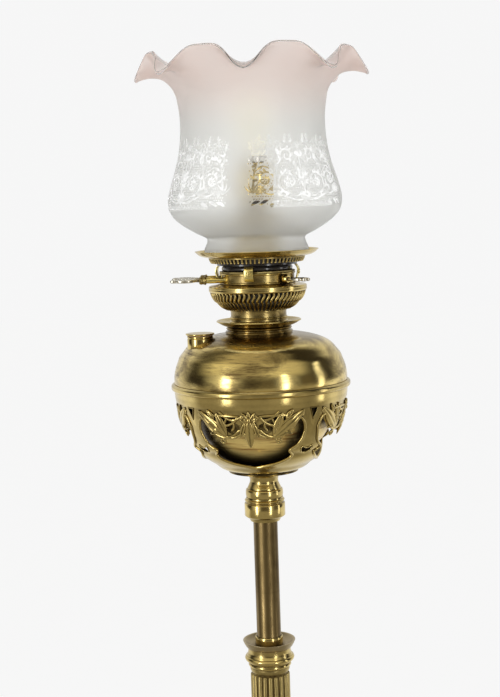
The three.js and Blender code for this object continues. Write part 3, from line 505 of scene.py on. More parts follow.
def bowl_finish(name, brass, patina, warm, stained, level):
    """Warm brass with brown streaks below a level, darkened by painted shade where the cradle closes round
    it, and polished brass above it.
    """
    made = Finish(name)
    above = made.between(made.parts()[2], level, level + 0.002)
    streak = made.ramp(made.noise(38, 5, 0.6, stretch=(0.6, 0.6, 11)), (0.48, 0), (0.66, 1))
    cloud = made.ramp(made.noise(30, 5, 0.6), (0.45, 0), (0.75, 0.7))
    # Painted shade: deep between the bowl and the cradle the colour darkens towards a dark patina
    lower = made.mixed(made.painted_shade(DEEP_SHADE_REACH), made.mixed(streak, warm, stained), tinted(patina, 0.3))
    made.set(Base_Color=made.mixed(above, lower, made.mixed(cloud, brass, patina)))
    made.set(Metallic=made.sum("MULTIPLY_ADD", above, 0.35, 0.65))
    made.set(Roughness=made.sum("MULTIPLY_ADD", above, -0.12, 0.3))
    made.set(Normal=made.bump(streak, 0.0001, 0.2))
    return made.material


def tube_finish(name, brass, patina):
    """Browned brass tube with vertical streaks and faint rings where it has been clamped."""
    made = Finish(name, metallic=1.0)
    streak = made.noise(210, 4, 0.6, stretch=(1, 1, 0.03))
    cloud = made.noise(45, 4, 0.6, stretch=(1, 1, 0.4))
    rings = made.noise(90, 2, 0.5, stretch=(0.01, 0.01, 1))
    amount = made.mixed(0.5, made.ramp(streak, (0.35, 0), (0.62, 1)), made.ramp(cloud, (0.35, 0), (0.65, 1)))
    amount = made.mixed(made.ramp(rings, (0.62, 0), (0.68, 0.5)), amount, WHITE)
    made.set(Base_Color=made.mixed(amount, brass, patina))
    made.set(Roughness=made.sum("MULTIPLY_ADD", amount, 0.2, 0.26))
    made.set(Normal=made.bump(streak, 0.0001, 0.4))
    return made.material


def matt_finish(name, light, dark, rough, scale, depth, metallic=0.0, **more):
    """A dull surface of two shades with its own fine grain."""
    made = Finish(name, metallic=metallic, **more)
    cloud = made.noise(scale, 5, 0.6)
    grain = made.noise(scale * 8, 3, 0.6)
    made.set(Base_Color=made.mixed(made.ramp(cloud, (0.35, 0), (0.65, 1)), light, dark))
    made.set(Roughness=made.sum("MULTIPLY_ADD", grain, 0.2, rough - 0.1, clamp=True))
    made.set(Normal=made.bump(grain, depth, 0.5))
    return made.material


def woven_finish(name, light, dark):
    """Cotton tape with a plain weave."""
    made = Finish(name, roughness=0.95, Sheen_Weight=0.3)
    threads = [made.add("ShaderNodeTexWave", {"Vector": made.place, "Scale": 700.0, "Distortion": 0.4},
                        bands_direction=way).outputs["Fac"] for way in "XZ"]
    weave = made.sum("MULTIPLY", *threads)
    made.set(Base_Color=made.mixed(weave, dark, light))
    made.set(Normal=made.bump(weave, 0.0002, 0.7))
    return made.material


def opal_finish(name):
    """Milk-white bulb glass, with a faint painted glow though the bulb is not lit."""
    made = Finish(name, roughness=0.22, IOR=1.5, Subsurface_Weight=0.3, Subsurface_Scale=0.01,
                  Subsurface_Radius=(1, 0.8, 0.6))
    cloud = made.noise(60, 3, 0.5)
    made.set(Base_Color=made.mixed(cloud, (0.93, 0.88, 0.74), (0.97, 0.94, 0.86)))
    made.set(Roughness=made.sum("MULTIPLY_ADD", cloud, 0.1, 0.18))
    # Painted glow: the unlit bulb is made to shine faintly through the shade
    made.set(Emission_Color=(1.0, 1.0, 0.9, 1.0), Emission_Strength=0.22)
    return made.material


def frosted_finish(name, frost, blush, pink_from, pink_to, painted_glint_from, painted_glint_to):
    """Acid-frosted glass with polished ornament, blushing pink towards the rim.

    It has a faint painted glow all over, and a painted glint on the ornament towards the sides of the shade,
    below the pink.
    """
    frosted, clear = (0.58,) * 3, (0.05,) * 3
    let_through = (0.74,) * 3
    # Strength of the painted glow over the whole shade, and of the painted glint on the ornament
    glow = 0.038
    painted_glint_strength = 0.07
    edge = 0.15
    made = Finish(name, IOR=1.45, Emission_Color=(1.0, 1.0, 0.97, 1.0))
    height = made.parts()[2]
    polished = made.add("ShaderNodeAttribute", attribute_name="polished").outputs["Fac"]
    etched = made.add("ShaderNodeMapRange", {
        "Value": polished, "From Min": -edge, "From Max": edge}).outputs[0]
    grain = made.noise(2600, 2, 0.6)
    cloud = made.noise(22, 3, 0.5)
    pink = made.between(height, pink_from, pink_to)
    pink = made.sum("MULTIPLY", pink, made.ramp(cloud, (0.3, 0.75), (0.7, 1)))
    tint = made.mixed(pink, frost, blush)
    tint = made.mixed(made.sum("MULTIPLY", cloud, 0.12), tint, (0.82, 0.82, 0.79))
    made.set(Base_Color=made.mixed(etched, tint, WHITE))
    made.set(Roughness=made.mixed(etched, frosted, clear))
    made.set(Transmission_Weight=made.mixed(etched, let_through, WHITE))
    side = made.sum("ABSOLUTE", made.add("ShaderNodeSeparateXYZ", {"Vector": made.place}).outputs[0])
    # Painted glint: the ornament glows towards the sides of the shade, below the pink
    painted_glint = made.sum("MULTIPLY", etched, painted_glint_strength)
    painted_glint = made.sum("MULTIPLY", painted_glint, made.between(side, painted_glint_from, painted_glint_to))
    painted_glint = made.sum("MULTIPLY", painted_glint, made.between(height, pink_to, pink_from))
    made.set(Emission_Strength=made.sum("ADD", painted_glint, glow))
    made.set(Normal=made.bump(made.mixed(etched, grain, (0.5, 0.5, 0.5)), 0.00005, 0.35))
    return made.material


def clear_finish(name, tint):
    """Clear glass with a faint ripple from the mould."""
    made = Finish(name, roughness=0.02, IOR=1.45, Transmission_Weight=1.0)
    ripple = made.noise(40, 2, 0.4)
    made.set(Base_Color=made.mixed(ripple, tint, WHITE), Normal=made.bump(ripple, 0.0004, 0.15))
    return made.material


def all_finishes():
    """The record's finishes, by slot, and a few more for worn pieces."""
    colours = bpy.context.scene.lamp_colours
    brass, patina = tuple(colours.brass), tuple(colours.patina)
    dull = tinted(brass, 0.62)
    top = CAD_BOX[1].z
    return {
        "brass": brass_finish("Aged brass", brass, patina),
        "brushed_brass": dome_finish("Rubbed brass", brass, patina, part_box("fount_dome")[1].z),
        "column_brass": brass_finish("Browned reeds", tinted(brass, 0.78), tinted(patina, 0.7),
                                     rough=(0.26, 0.45), streak=(1, 1, 0.15), wear=0.8),
        # Painted shade that reaches far between the leaves of the relief, towards a patina darker than
        # elsewhere, darkens the gaps between them
        "relief_brass": brass_finish("Brass relief", brass, tinted(patina, 0.45), shade_reach=DEEP_SHADE_REACH),
        "bowl_brass": bowl_finish("Warm brass", brass, patina, warm=(0.95, 0.72, 0.26),
                                  stained=(0.42, 0.22, 0.06), level=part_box("cradle")[1].z - 2 * MM),
        "pale_brass": brass_finish("Pale brass", tinted(brass, 1.25), dull, rough=(0.2, 0.35), wear=0.4),
        "dull_brass": brass_finish("Dull brass", dull, patina, rough=(0.34, 0.6)),
        "tube_brass": tube_finish("Browned brass", (0.36, 0.26, 0.115), tinted(patina, 0.6)),
        "dish_brass": brass_finish("Satin brass", (0.50, 0.41, 0.24), (0.28, 0.21, 0.11),
                                   rough=(0.3, 0.45), wear=0.5),
        "nut_brass": brass_finish("Browned nut", tinted(brass, 0.5), patina, rough=(0.25, 0.4), wear=0.8),
        "worn_brass": brass_finish("Worn silvered brass", (0.80, 0.77, 0.69), (0.36, 0.30, 0.20),
                                   rough=(0.22, 0.45), wear=0.5),
        "iron": matt_finish("Black iron", (0.09, 0.085, 0.08), (0.16, 0.11, 0.08), rough=0.62, scale=60,
                            depth=0.0003, metallic=0.8),
        "black": matt_finish("Black japan", (0.012, 0.010, 0.009), (0.03, 0.024, 0.02), rough=0.18,
                             scale=80, depth=0.00003, Coat_Weight=0.6, Coat_Roughness=0.08),
        "ballast": matt_finish("Plaster", (0.62, 0.59, 0.53), (0.46, 0.43, 0.38), rough=0.9, scale=45,
                               depth=0.0008),
        "cork": matt_finish("Cork", (0.42, 0.28, 0.15), (0.22, 0.13, 0.07), rough=0.85, scale=500,
                            depth=0.0005),
        "cotton": woven_finish("Cotton wick", (0.7635, 0.722, 0.622), (0.45, 0.38, 0.28)),
        "porcelain": matt_finish("Porcelain", (0.84, 0.82, 0.76), (0.76, 0.73, 0.66), rough=0.2, scale=30,
                                 depth=0.00005, Coat_Weight=0.4),
        "nickel": brass_finish("Dull nickel", (0.62, 0.60, 0.57), (0.42, 0.39, 0.35),
                               rough=(0.28, 0.42), wear=0.4),
        "opal_glass": opal_finish("Opal glass"),
        "frosted_glass": frosted_finish("Frosted glass", tuple(colours.frost), tuple(colours.blush),
                                        pink_from=top - 80 * MM, pink_to=top - 10 * MM,
                                        painted_glint_from=18 * MM, painted_glint_to=30 * MM),
        "clear_glass": clear_finish("Clear glass", (0.97, 0.98, 0.97)),
    }


FINISHES = {}


# Stage
class STAGE_OT_lamp(Operator):
    """Floor, room light, three tall soft boxes and the camera"""
    bl_idname = "lamp.stage"
    bl_label = "Stage"

    camera_distance: FloatProperty(name="Camera's distance", default=1.324, unit="LENGTH")
    camera_height: FloatProperty(name="Camera's height", default=1.3651, unit="LENGTH")
    pitch: FloatProperty(name="Pitch down", default=radians(3.12), unit="ROTATION")
    drop: FloatProperty(name="Lens shift down, in frame heights", default=0.108)
    yaw: FloatProperty(name="Yaw", default=radians(0.306), unit="ROTATION")
    roll: FloatProperty(name="Roll", default=radians(-1.87), unit="ROTATION")
    lens: FloatProperty(name="Lens in millimetres", default=71.22)
    lift: FloatProperty(name="Share of the floor's own light", default=0.82)
    glow: FloatProperty(name="Floor's light in reflections", default=1.01)
    soft_box_reach: FloatProperty(name="Soft boxes' distance", default=1.9, unit="LENGTH")
    soft_box_height: FloatProperty(name="Soft boxes' own height", default=1.5, unit="LENGTH")

    # Colours of the room as the lens, the soft light and the polished metal meet them
    white = (0.925, 0.925, 0.925)
    even = (0.67, 0.67, 0.67)
    dim = (0.26, 0.23, 0.16)
    window_tint = (0.80, 0.78, 0.68)
    # From behind the camera to behind the lamp
    room_depth = ((0.0, (0.10, 0.085, 0.06)), (0.3, (0.10, 0.085, 0.06)), (0.46, (0.02, 0.016, 0.012)),
                  (0.66, (0.04, 0.035, 0.03)), (0.8, (0.7, 0.7, 0.7)))
    # From level to straight up
    ceiling = ((0.2, 0.0), (0.5, (0.95, 0.90, 0.72)), (1.0, (0.40, 0.35, 0.27)))
    # Once round the lamp, with the camera's side in the middle
    ceiling_round = ((0.16, 0.3), (0.22, 0.1), (0.3, 0.9), (0.46, 0.85), (0.55, 0.75), (0.66, 0.6),
                     (0.72, 0.03), (0.82, 0.03), (0.87, 0.5))
    windows_round = ((0.26, 0.0), (0.33, 0.75), (0.41, 0.85), (0.445, 0.03), (0.545, 0.02), (0.57, 0.42),
                     (0.62, 0.5), (0.66, 0.03), (0.72, 0.0))
    # From straight down to straight up
    window_height = ((0.36, 0.0), (0.44, 1.0), (0.68, 1.0), (0.78, 0.0))
    # Turn from the camera in degrees, width and power
    boxes = ((-46, 0.36, 8), (32, 0.24, 5), (85, 0.3, 2.5))

    def execute(self, context):
        self.floor()
        self.world(context.scene)
        self.soft_boxes()
        bpy.ops.object.camera_add()
        camera = context.object
        camera.data.lens = self.lens
        camera.data.shift_y = -self.drop
        camera.data.clip_start = 0.05
        camera.matrix_world = (
            Matrix.Translation((0, -self.camera_distance, self.camera_height))
            @ Matrix.Rotation(self.yaw, 4, "Z") @ Matrix.Rotation(pi / 2 - self.pitch, 4, "X")
            @ Matrix.Rotation(self.roll, 4, "Z"))
        context.scene.camera = camera
        context.scene.view_settings.view_transform = "Standard"
        return {"FINISHED"}

    def floor(self):
        """Pale paper floor, white to the lens but for the lamp's shadow."""
        ground = added("plane", "floor", size=30)
        paper = Finish("Pale paper", roughness=0.9)
        paper.set(Base_Color=paper.mixed(paper.noise(8, 3), (0.80, 0.80, 0.79), (0.84, 0.84, 0.83)))
        depth = paper.add("ShaderNodeMapRange", {
            "Value": paper.add("ShaderNodeSeparateXYZ", {"Vector": paper.place}).outputs[1],
            "From Min": -1.0, "From Max": 2.0}).outputs[0]
        room = paper.ramp(depth, (0.35, self.dim), (0.75, self.white))
        glow = paper.add("ShaderNodeEmission", {
            "Color": paper.mixed(paper.rays("Is Glossy Ray"), (self.glow,) * 3, room)}).outputs[0]
        share = paper.sum("MULTIPLY", self.lift, paper.rays(
            "Is Camera Ray", "Is Transmission Ray", "Is Glossy Ray"))
        both = paper.add("ShaderNodeMixShader", {0: share, 1: paper.shader.outputs[0], 2: glow})
        paper.feed(paper.tree.nodes["Material Output"].inputs[0], both.outputs[0])
        ground.data.materials.append(paper.material)

    def world(self, scene):
        """White behind the lamp, a dim room in front and at the sides, and even soft light."""
        scene.world = bpy.data.worlds.new("Studio")
        scene.world.use_nodes = True
        sky = Nodes(scene.world.node_tree)
        way = sky.add("ShaderNodeSeparateXYZ", {
            "Vector": sky.add("ShaderNodeTexCoord").outputs["Generated"]})
        depth = sky.sum("MULTIPLY_ADD", way.outputs[1], 0.5, 0.5)
        up = sky.sum("MULTIPLY_ADD", way.outputs[2], 0.5, 0.5)
        side = sky.sum("ARCTAN2", way.outputs[0], sky.sum("MULTIPLY", way.outputs[1], -1.0))
        side = sky.sum("MULTIPLY_ADD", side, 1 / tau, 0.5)
        room = sky.ramp(depth, *self.room_depth)
        above = sky.mixed(1.0, sky.ramp(way.outputs[2], *self.ceiling), sky.ramp(side, *self.ceiling_round),
                          "MULTIPLY")
        windows = sky.mixed(1.0, sky.ramp(side, *self.windows_round), sky.ramp(up, *self.window_height),
                            "MULTIPLY")
        windows = sky.mixed(1.0, windows, self.window_tint, "MULTIPLY")
        seen_in_metal = sky.mixed(1.0, sky.mixed(1.0, room, above, "LIGHTEN"), windows, "LIGHTEN")
        shown = sky.mixed(sky.rays("Is Glossy Ray"), self.even, seen_in_metal)
        shown = sky.mixed(sky.rays("Is Camera Ray", "Is Transmission Ray"), shown, self.white)
        sky.feed(sky.tree.nodes["Background"].inputs["Color"], shown)

    def soft_boxes(self):
        """Tall soft boxes left and right of the camera, whose reflections run down the brass."""
        level = CAD_BOX[1].z * 0.8 + 0.1
        for turn, width, power in self.boxes:
            bpy.ops.object.light_add(type="AREA")
            light = bpy.context.object
            light.data.shape = "RECTANGLE"
            light.data.size = width
            light.data.size_y = self.soft_box_height
            light.data.energy = power
            light.visible_camera = False
            place = Vector((sin(radians(turn)), -cos(radians(turn)), 0)) * self.soft_box_reach
            light.location = place + Vector((0, 0, level))
            light.rotation_euler = (-place).to_track_quat("-Z", "Y").to_euler()


def finish_by_slot(context):
    if not FINISHES:
        FINISHES.update(all_finishes())
    return FINISHES


class FINISH_OT_lamp(Operator):
    """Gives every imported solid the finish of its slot"""
    bl_idname = "lamp.finishes"
    bl_label = "Finishes"

    def execute(self, context):
        finishes = finish_by_slot(context)
        for node, solid in frame["nodes"].items():
            solid.data.materials.clear()
            solid.data.materials.append(finishes[SLOT_OF[node]])
        return {"FINISHED"}


# Base
class FEET_OT_lamp(Operator):
    """Four paw feet with knuckled toes and claws"""
    bl_idname = "lamp.feet"
    bl_label = "Paw feet"

    toes: IntProperty(name="Toes", default=4)
    toe_spread: FloatProperty(name="Turn from toe to toe", default=radians(27), unit="ROTATION")
    grain: FloatProperty(name="Finest detail", default=0.0009, unit="LENGTH")

    # In shares of the foot's height. A knuckle is given by its reach, level, radius and length.
    ankle = [(0, 0.02), (0.28, 0.02), (0.33, 0.25), (0.28, 0.45), (0.3, 0.7), (0.38, 0.86), (0.42, 0.9),
             (0.42, 1), (0, 1)]
    knuckles = ((0.22, 0.34, 0.15, 1.25), (0.36, 0.27, 0.13, 1.1), (0.46, 0.13, 0.115, 1.0))

    def execute(self, context):
        finish = finish_by_slot(context)["brass"]
        paw = self.paw()
        for corner in CORNERS:
            node = "foot_" + corner
            middle = spot(node)[0]
            foot = placed(copied(paw, node + "_paw"), (middle.x, middle.y, 0), atan2(middle.y, middle.x))
            dress(foot, node, finish)
        bpy.data.objects.remove(paw)
        return {"FINISHED"}

    def paw(self):
        """One paw that points along X, fused from an ankle, a heel, toes and claws."""
        _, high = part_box("foot_front_right")
        height = high.z
        pieces = [turned("ankle", [(r * height, z * height) for r, z in self.ankle], sides=32, bevel=0)]
        heel = ball("heel", 0.2 * height, 24, 12)
        pieces.append(placed(heel, (-0.1 * height, 0, 0.18 * height)))
        for i in range(self.toes):
            turn = (i - (self.toes - 1) / 2) * self.toe_spread
            out = Vector((cos(turn), sin(turn), 0))
            for reach, level, radius, length in self.knuckles:
                place = (out * reach + Vector((0, 0, level))) * height
                knuckle = ball("knuckle", radius * height)
                pieces.append(placed(knuckle, place, turn, scale=(length, 0.72, 0.95)))
            claw = added("cone", "claw", radius1=0.06 * height, radius2=0.006 * height, depth=0.17 * height,
                         vertices=12)
            tip = (out * 0.5 + Vector((0, 0, 0.09))) * height
            pieces.append(placed(claw, tip, turn, tilt=(0, radians(118))))
        paw = joined("paw", *pieces)
        applied(paw, "REMESH", mode="VOXEL", voxel_size=self.grain)
        applied(paw, "SMOOTH", factor=0.6, iterations=5)
        begin_edit(paw)
        bpy.ops.mesh.bisect(plane_co=(0, 0, 0), plane_no=(0, 0, 1), clear_inner=True, use_fill=True)
        end_edit()
        return smooth(paw, 60)


class BASE_OT_lamp(Operator):
    """Square stepped plinth with moulded edges"""
    bl_idname = "lamp.base"
    bl_label = "Plinth"

    wall: FloatProperty(name="Wall", default=0.0028, unit="LENGTH")
    hole: FloatProperty(name="Half width of the wall's inner edge", default=0.0146, unit="LENGTH")
    softness: FloatProperty(name="Rounding of the mouldings", default=0.0008, unit="LENGTH")

    mouldings = [(0.985, 0), (1, 0.02), (1, 0.13),
                 *curve((0.99, 0.15), (0.985, 0.19), (0.95, 0.215), (0.9, 0.235)), (0.89, 0.27),
                 *curve((0.875, 0.275), (0.85, 0.31), (0.84, 0.4), (0.838, 0.49)), (0.825, 0.5),
                 (0.825, 0.53), *curve((0.815, 0.54), (0.79, 0.6), (0.74, 0.62), (0.69, 0.64)),
                 (0.68, 0.67), *curve((0.65, 0.69), (0.645, 0.75), (0.64, 0.85)), (0.63, 0.86),
                 *curve((0.62, 0.87), (0.61, 0.92), (0.58, 0.95), (0.54, 0.97)), (0.53, 1)]

    def execute(self, context):
        finish = finish_by_slot(context)["brass"]
        low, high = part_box("base_plinth")
        half, height = high.x, high.z - low.z
        outer = [(r * half, low.z + z * height) for r, z in self.mouldings]
        inner = [(max(r - self.wall, self.hole), max(low.z, z - self.wall)) for r, z in reversed(outer)]
        bore = self.hole / 2
        outline = [(r * sqrt(2), z) for r, z in (*outer, (bore, high.z), (bore, high.z - self.wall), *inner)]
        plinth = placed(turned("plinth", outline, sides=4, bevel=0), turn=pi / 4)
        outward(plinth)
        applied(plinth, "BEVEL", width=self.softness, segments=3, limit_method="ANGLE",
                angle_limit=radians(50))
        dress(smooth(plinth, 30), "base_plinth", finish)
        return {"FINISHED"}


# Turned pieces: outlines in shares of each node's own radius and height
SOCLE = [(0.22, 0), (0.97, 0), *curve((0.97, 0.02), (1, 0.06), (1, 0.1), (0.97, 0.15)), (0.94, 0.17),
         (0.94, 0.24), *curve((0.9, 0.27), (0.74, 0.31), (0.6, 0.45), (0.52, 0.63), (0.48, 0.8)),
         *curve((0.48, 0.84), (0.51, 0.88), (0.51, 0.95), (0.48, 1)), (0.22, 1)]
FOOT_RING = [(0.48, 0), *curve((0.93, 0), (0.99, 0.12), (1, 0.25), (0.99, 0.38), (0.93, 0.5)), (0.8, 0.52),
             (0.8, 0.62), *curve((0.78, 0.64), (0.72, 0.72), (0.7, 0.85), (0.74, 1)), (0.48, 1)]
COLLAR = [(0.61, 0), (0.82, 0), *curve((0.84, 0.01), (0.863, 0.05), (0.866, 0.1), (0.85, 0.17)),
          (0.82, 0.18), (0.82, 0.22), (0.875, 0.23), (0.875, 0.27),
          *curve((0.9, 0.29), (0.97, 0.34), (1, 0.42), (1, 0.48), (0.965, 0.56)), (0.93, 0.58),
          *curve((0.92, 0.62), (0.875, 0.75), (0.865, 0.9), (0.866, 1)), (0.625, 1), (0.625, 0.72),
          (0.61, 0.72)]
DISH = [(0.53, 0), (0.85, 0), *curve((0.85, 0.02), (0.9, 0.15), (0.96, 0.4), (1, 0.6)), (1, 0.635),
        (0.975, 0.64), *curve((0.95, 0.63), (0.8, 0.42), (0.65, 0.28), (0.57, 0.22)), (0.53, 0.22)]
DISH_NECK = [(0.477, 0), (0.528, 0), (0.528, 0.9), (0.515, 1), (0.477, 1)]
RISER = [(0.875, 0), (1, 0), (1, 1), (0.875, 1)]
DRUM = [(0.612, 0), (0.73, 0), *curve((0.73, 0.01), (0.76, 0.06), (0.81, 0.14)),
        *curve((0.82, 0.15), (0.9, 0.165), (0.97, 0.21)), (1, 0.23), (1, 0.72), (0.985, 0.75), (0.93, 0.77),
        (0.93, 0.82), *curve((0.94, 0.825), (0.985, 0.87), (0.94, 0.92)), (0.91, 0.93), (0.91, 1),
        (0.376, 1), (0.376, 0.769), (0.612, 0.769)]
NECK = [(0.274, 0), (0.65, 0), *curve((0.66, 0.02), (0.672, 0.12), (0.667, 0.24), (0.65, 0.3)), (0.6, 0.31),
        (0.6, 0.36),
        *curve((0.6, 0.36), (0.56, 0.45), (0.515, 0.56), (0.507, 0.66), (0.54, 0.78), (0.62, 0.87),
               (0.8, 0.92), (0.985, 0.945)), (1, 0.96), (1, 1), (0.274, 1)]
BOWL = [(0, 0), (0.28, 0.003),
        *curve((0.35, 0.02), (0.49, 0.108), (0.667, 0.287), (0.75, 0.423), (0.786, 0.51), (0.86, 0.82),
               (0.87, 0.9)),
        *curve((0.94, 0.908), (0.975, 0.918), (0.997, 0.935), (1, 0.958), (0.997, 0.98), (0.975, 1)),
        (0.84, 1), *curve((0.84, 0.9), (0.76, 0.5), (0.64, 0.28), (0.45, 0.1), (0.25, 0.03)), (0, 0.03)]
DOME = [*curve((1, 0), (0.998, 0.115), (0.992, 0.189), (0.982, 0.262), (0.966, 0.337), (0.948, 0.411),
               (0.929, 0.486), (0.886, 0.57), (0.853, 0.637), (0.799, 0.711), (0.693, 0.79), (0.536, 0.853),
               (0.384, 0.881), steps=2), *curve((0.384, 0.885), (0.393, 0.905), (0.384, 0.93)),
        (0.36, 0.935), (0.36, 0.95), *curve((0.37, 0.955), (0.38, 0.975), (0.37, 1)), (0.295, 1),
        (0.295, 0.85), *curve((0.5, 0.83), (0.66, 0.76), (0.8, 0.65), (0.9, 0.45), (0.965, 0.2), (0.98, 0))]
BURNER_COLLAR = [(0.544, 0), (0.593, 0), (0.593, 0.61), (0.67, 0.61),
                 *curve((0.67, 0.62), (0.76, 0.65), (0.88, 0.76), (0.975, 0.9)), (1, 0.94), (0.985, 1),
                 *curve((0.96, 0.97), (0.84, 0.85), (0.72, 0.78)), (0.7, 0.768), (0.544, 0.768)]
BURNER_NECK = [(0.694, 0), (0.772, 0), (0.772, 0.42), (0.96, 0.42),
               *curve((0.96, 0.425), (1, 0.45), (1, 0.49), (0.965, 0.52)), (0.95, 0.53), (0.95, 0.6),
               *curve((0.95, 0.61), (0.985, 0.64), (0.985, 0.67), (0.955, 0.7)), (0.955, 0.95),
               (0.98, 0.96), (0.98, 1), (0.694, 1)]
DECK_RING = [(0.956, 0), (0.985, 0), *curve((0.985, 0.02), (1, 0.06), (1, 0.12), (0.985, 0.16)),
             (0.975, 0.18), (0.975, 0.8), *curve((0.985, 0.82), (1, 0.87), (1, 0.94), (0.985, 0.98)),
             (0.975, 1), (0.956, 1)]
CROWN_RING = [(0.912, 0), (0.95, 0), *curve((0.96, 0.04), (1, 0.25), (1, 0.6), (0.96, 0.94)), (0.94, 1),
              (0.912, 1)]
TRAY = [(0.704, 0), (0.78, 0),
        *curve((0.8, 0.02), (0.88, 0.16), (0.94, 0.42), (0.975, 0.72), (0.992, 0.86)), (1, 0.92),
        (0.992, 1), (0.975, 0.98), *curve((0.955, 0.82), (0.92, 0.5), (0.87, 0.28)), (0.862, 0.25),
        (0.704, 0.25)]
ADAPTOR = [(0.96, 0), (1, 0), (1, 0.02), *curve((0.99, 0.05), (0.985, 0.19), (0.93, 0.26), (0.82, 0.4)),
           (0.8, 0.42), (0.8, 0.46),
           *curve((0.78, 0.47), (0.78, 0.6), (0.66, 0.7), (0.42, 0.78), (0.38, 0.84)),
           *curve((0.4, 0.86), (0.52, 0.9), (0.59, 0.95)), (0.59, 1), (0.164, 1), (0.164, 0.98),
           (0.52, 0.98), (0.34, 0.84), (0.36, 0.76), (0.6, 0.68), (0.74, 0.58), (0.76, 0.42), (0.94, 0.2),
           (0.96, 0.02)]
HOLDER = [(0.27, 0), (0.5, 0), *curve((0.5, 0.005), (0.72, 0.04), (0.9, 0.13), (0.985, 0.26)), (1, 0.28),
          (1, 0.36), (0.97, 0.38), (0.97, 0.84), (1, 0.86), (1, 1), (0.93, 1), (0.93, 0.32), (0.85, 0.18),
          (0.5, 0.06), (0.27, 0.06)]
HOLDER_SLEEVE = [(0.61, 0), (1, 0), (1, 0.1), (0.97, 0.12), (0.8, 0.13), (0.78, 0.16), (0.78, 0.9),
                 (0.8, 0.93), (0.8, 1), (0.61, 1)]
BULB_CAP = [(0, 0), (0.8, 0), *curve((0.84, 0.01), (0.866, 0.05), (0.866, 0.1)), (0.866, 0.76),
            (0.92, 0.78), (1, 0.8), (1, 0.98), (0.985, 1), (0, 1)]
ROUND_PIECES = (("base_socle", SOCLE, "brass"), ("column_foot_ring", FOOT_RING, "brass"),
                ("column_collar", COLLAR, "brass"), ("lock_dish", DISH, "dish_brass"),
                ("riser_tube", RISER, "tube_brass"), ("coupling_drum", DRUM, "brass"),
                ("coupling_neck", NECK, "brass"), ("fount_bowl", BOWL, "bowl_brass"),
                ("burner_collar", BURNER_COLLAR, "brass"), ("burner_neck", BURNER_NECK, "brass"),
                ("crown_ring", CROWN_RING, "black"), ("gallery_tray", TRAY, "brass"),
                ("adaptor_dome", ADAPTOR, "dull_brass"), ("lampholder_body", HOLDER, "brass"),
                ("lampholder_sleeve", HOLDER_SLEEVE, "brass"), ("bulb_cap", BULB_CAP, "nickel"))


class ROUND_OT_lamp(Operator):
    """Mouldings, rings, tubes and bowls turned on the lamp's own axis"""
    bl_idname = "lamp.round"
    bl_label = "Turned pieces"

    def execute(self, context):
        finishes = finish_by_slot(context)
        for node, shares, finish in ROUND_PIECES:
            dress(turned(node + "_turned", sized(node, shares)), node, finishes[finish])
        neck = turned("lock_dish_neck", sized("lock_dish", DISH_NECK))
        dress(neck, "lock_dish", finishes["brass"], hide=False)
        return {"FINISHED"}


class COLUMN_OT_lamp(Operator):
    """Column of round reeds between two neckings"""
    bl_idname = "lamp.column"
    bl_label = "Reeded column"

    necking: FloatProperty(name="Necking's height", default=0.005, unit="LENGTH")
    gap: FloatProperty(name="Gap between necking and reeds", default=0.0015, unit="LENGTH")

    ring = [(1, 0), (0.99, 0.1), (1, 0.25), (1, 0.6), (0.985, 0.8), (0.96, 1)]
    # In shares of the column's radius, and a reed's own share of its pitch
    core_share = 0.915
    bore_share = 0.825
    reed_share = 0.93

    def execute(self, context):
        sizes = context.scene.lamp_sizes
        _, radius, bottom, height = spot("column_reeded")
        top = bottom + height
        core = radius * self.core_share
        bore = radius * self.bore_share
        lower = [(r * radius, bottom + z * self.necking) for r, z in self.ring]
        upper = [(r * radius, top - z * self.necking) for r, z in reversed(self.ring)]
        end = self.necking + self.gap / 2
        shaft = turned("column_core", [
            (bore, bottom), *lower, (core, bottom + end), (core, top - end), *upper, (bore, top)])
        reed_radius = pi * core / sizes.reed_count * self.reed_share
        inset = self.necking + self.gap + reed_radius
        reed = ball("reed", reed_radius, 16, 12)
        begin_edit(reed, select=False)
        mesh = bmesh.from_edit_mesh(reed.data)
        for point in mesh.verts:
            point.select_set(point.co.z > 0)
        mesh.select_flush(True)
        bpy.ops.transform.translate(value=(0, 0, height - 2 * inset))
        end_edit()
        placed(reed, (radius - reed_radius, 0, bottom + inset))
        around(smooth(reed, 60), sizes.reed_count)
        dress(joined("column_reeds", shaft, reed), "column_reeded", finish_by_slot(context)["column_brass"])
        return {"FINISHED"}


class DOME_OT_lamp(Operator):
    """Brushed fount dome with the hole for its filler"""
    bl_idname = "lamp.dome"
    bl_label = "Fount dome"

    def execute(self, context):
        dome = turned("fount_dome_turned", sized("fount_dome", DOME), sides=128)
        middle = spot("filler_tube")[0]
        low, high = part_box("filler_tube")
        clearance = 0.1 * MM
        drill = added("cylinder", "drill", radius=(high.x - low.x) / 2 + clearance,
                      depth=4 * (high.z - low.z), vertices=64, location=middle)
        applied(dome, "BOOLEAN", operation="DIFFERENCE", object=drill, solver="EXACT")
        bpy.data.objects.remove(drill)
        dress(smooth(dome), "fount_dome", finish_by_slot(context)["brushed_brass"])
        return {"FINISHED"}


class FILLER_OT_lamp(Operator):
    """Filler pipe and its milled cap"""
    bl_idname = "lamp.filler"
    bl_label = "Filler"

    pipe_shares = [(0.8, 0), (1, 0), (1, 0.86), (0.96, 0.88), (0.96, 0.9), (1, 0.92), (1, 0.98), (0.98, 1),
                   (0.8, 1)]
    cap_shares = [(0, 0), (0.693, 0), (0.693, 0.816), (0.97, 0.816),
                  *curve((0.97, 0.82), (1, 0.86), (1, 0.93), (0.97, 0.97)), (0.9, 0.975),
                  *curve((0.8, 0.97), (0.5, 0.985), (0, 1))]

    def execute(self, context):
        finish = finish_by_slot(context)["brass"]
        for node, shares in (("filler_tube", self.pipe_shares), ("filler_cap", self.cap_shares)):
            middle = spot(node)[0]
            piece = turned(node + "_turned", sized(node, shares, about_axis=False), sides=64)
            placed(piece, (middle.x, middle.y, 0))
            dress(piece, node, finish)
        return {"FINISHED"}


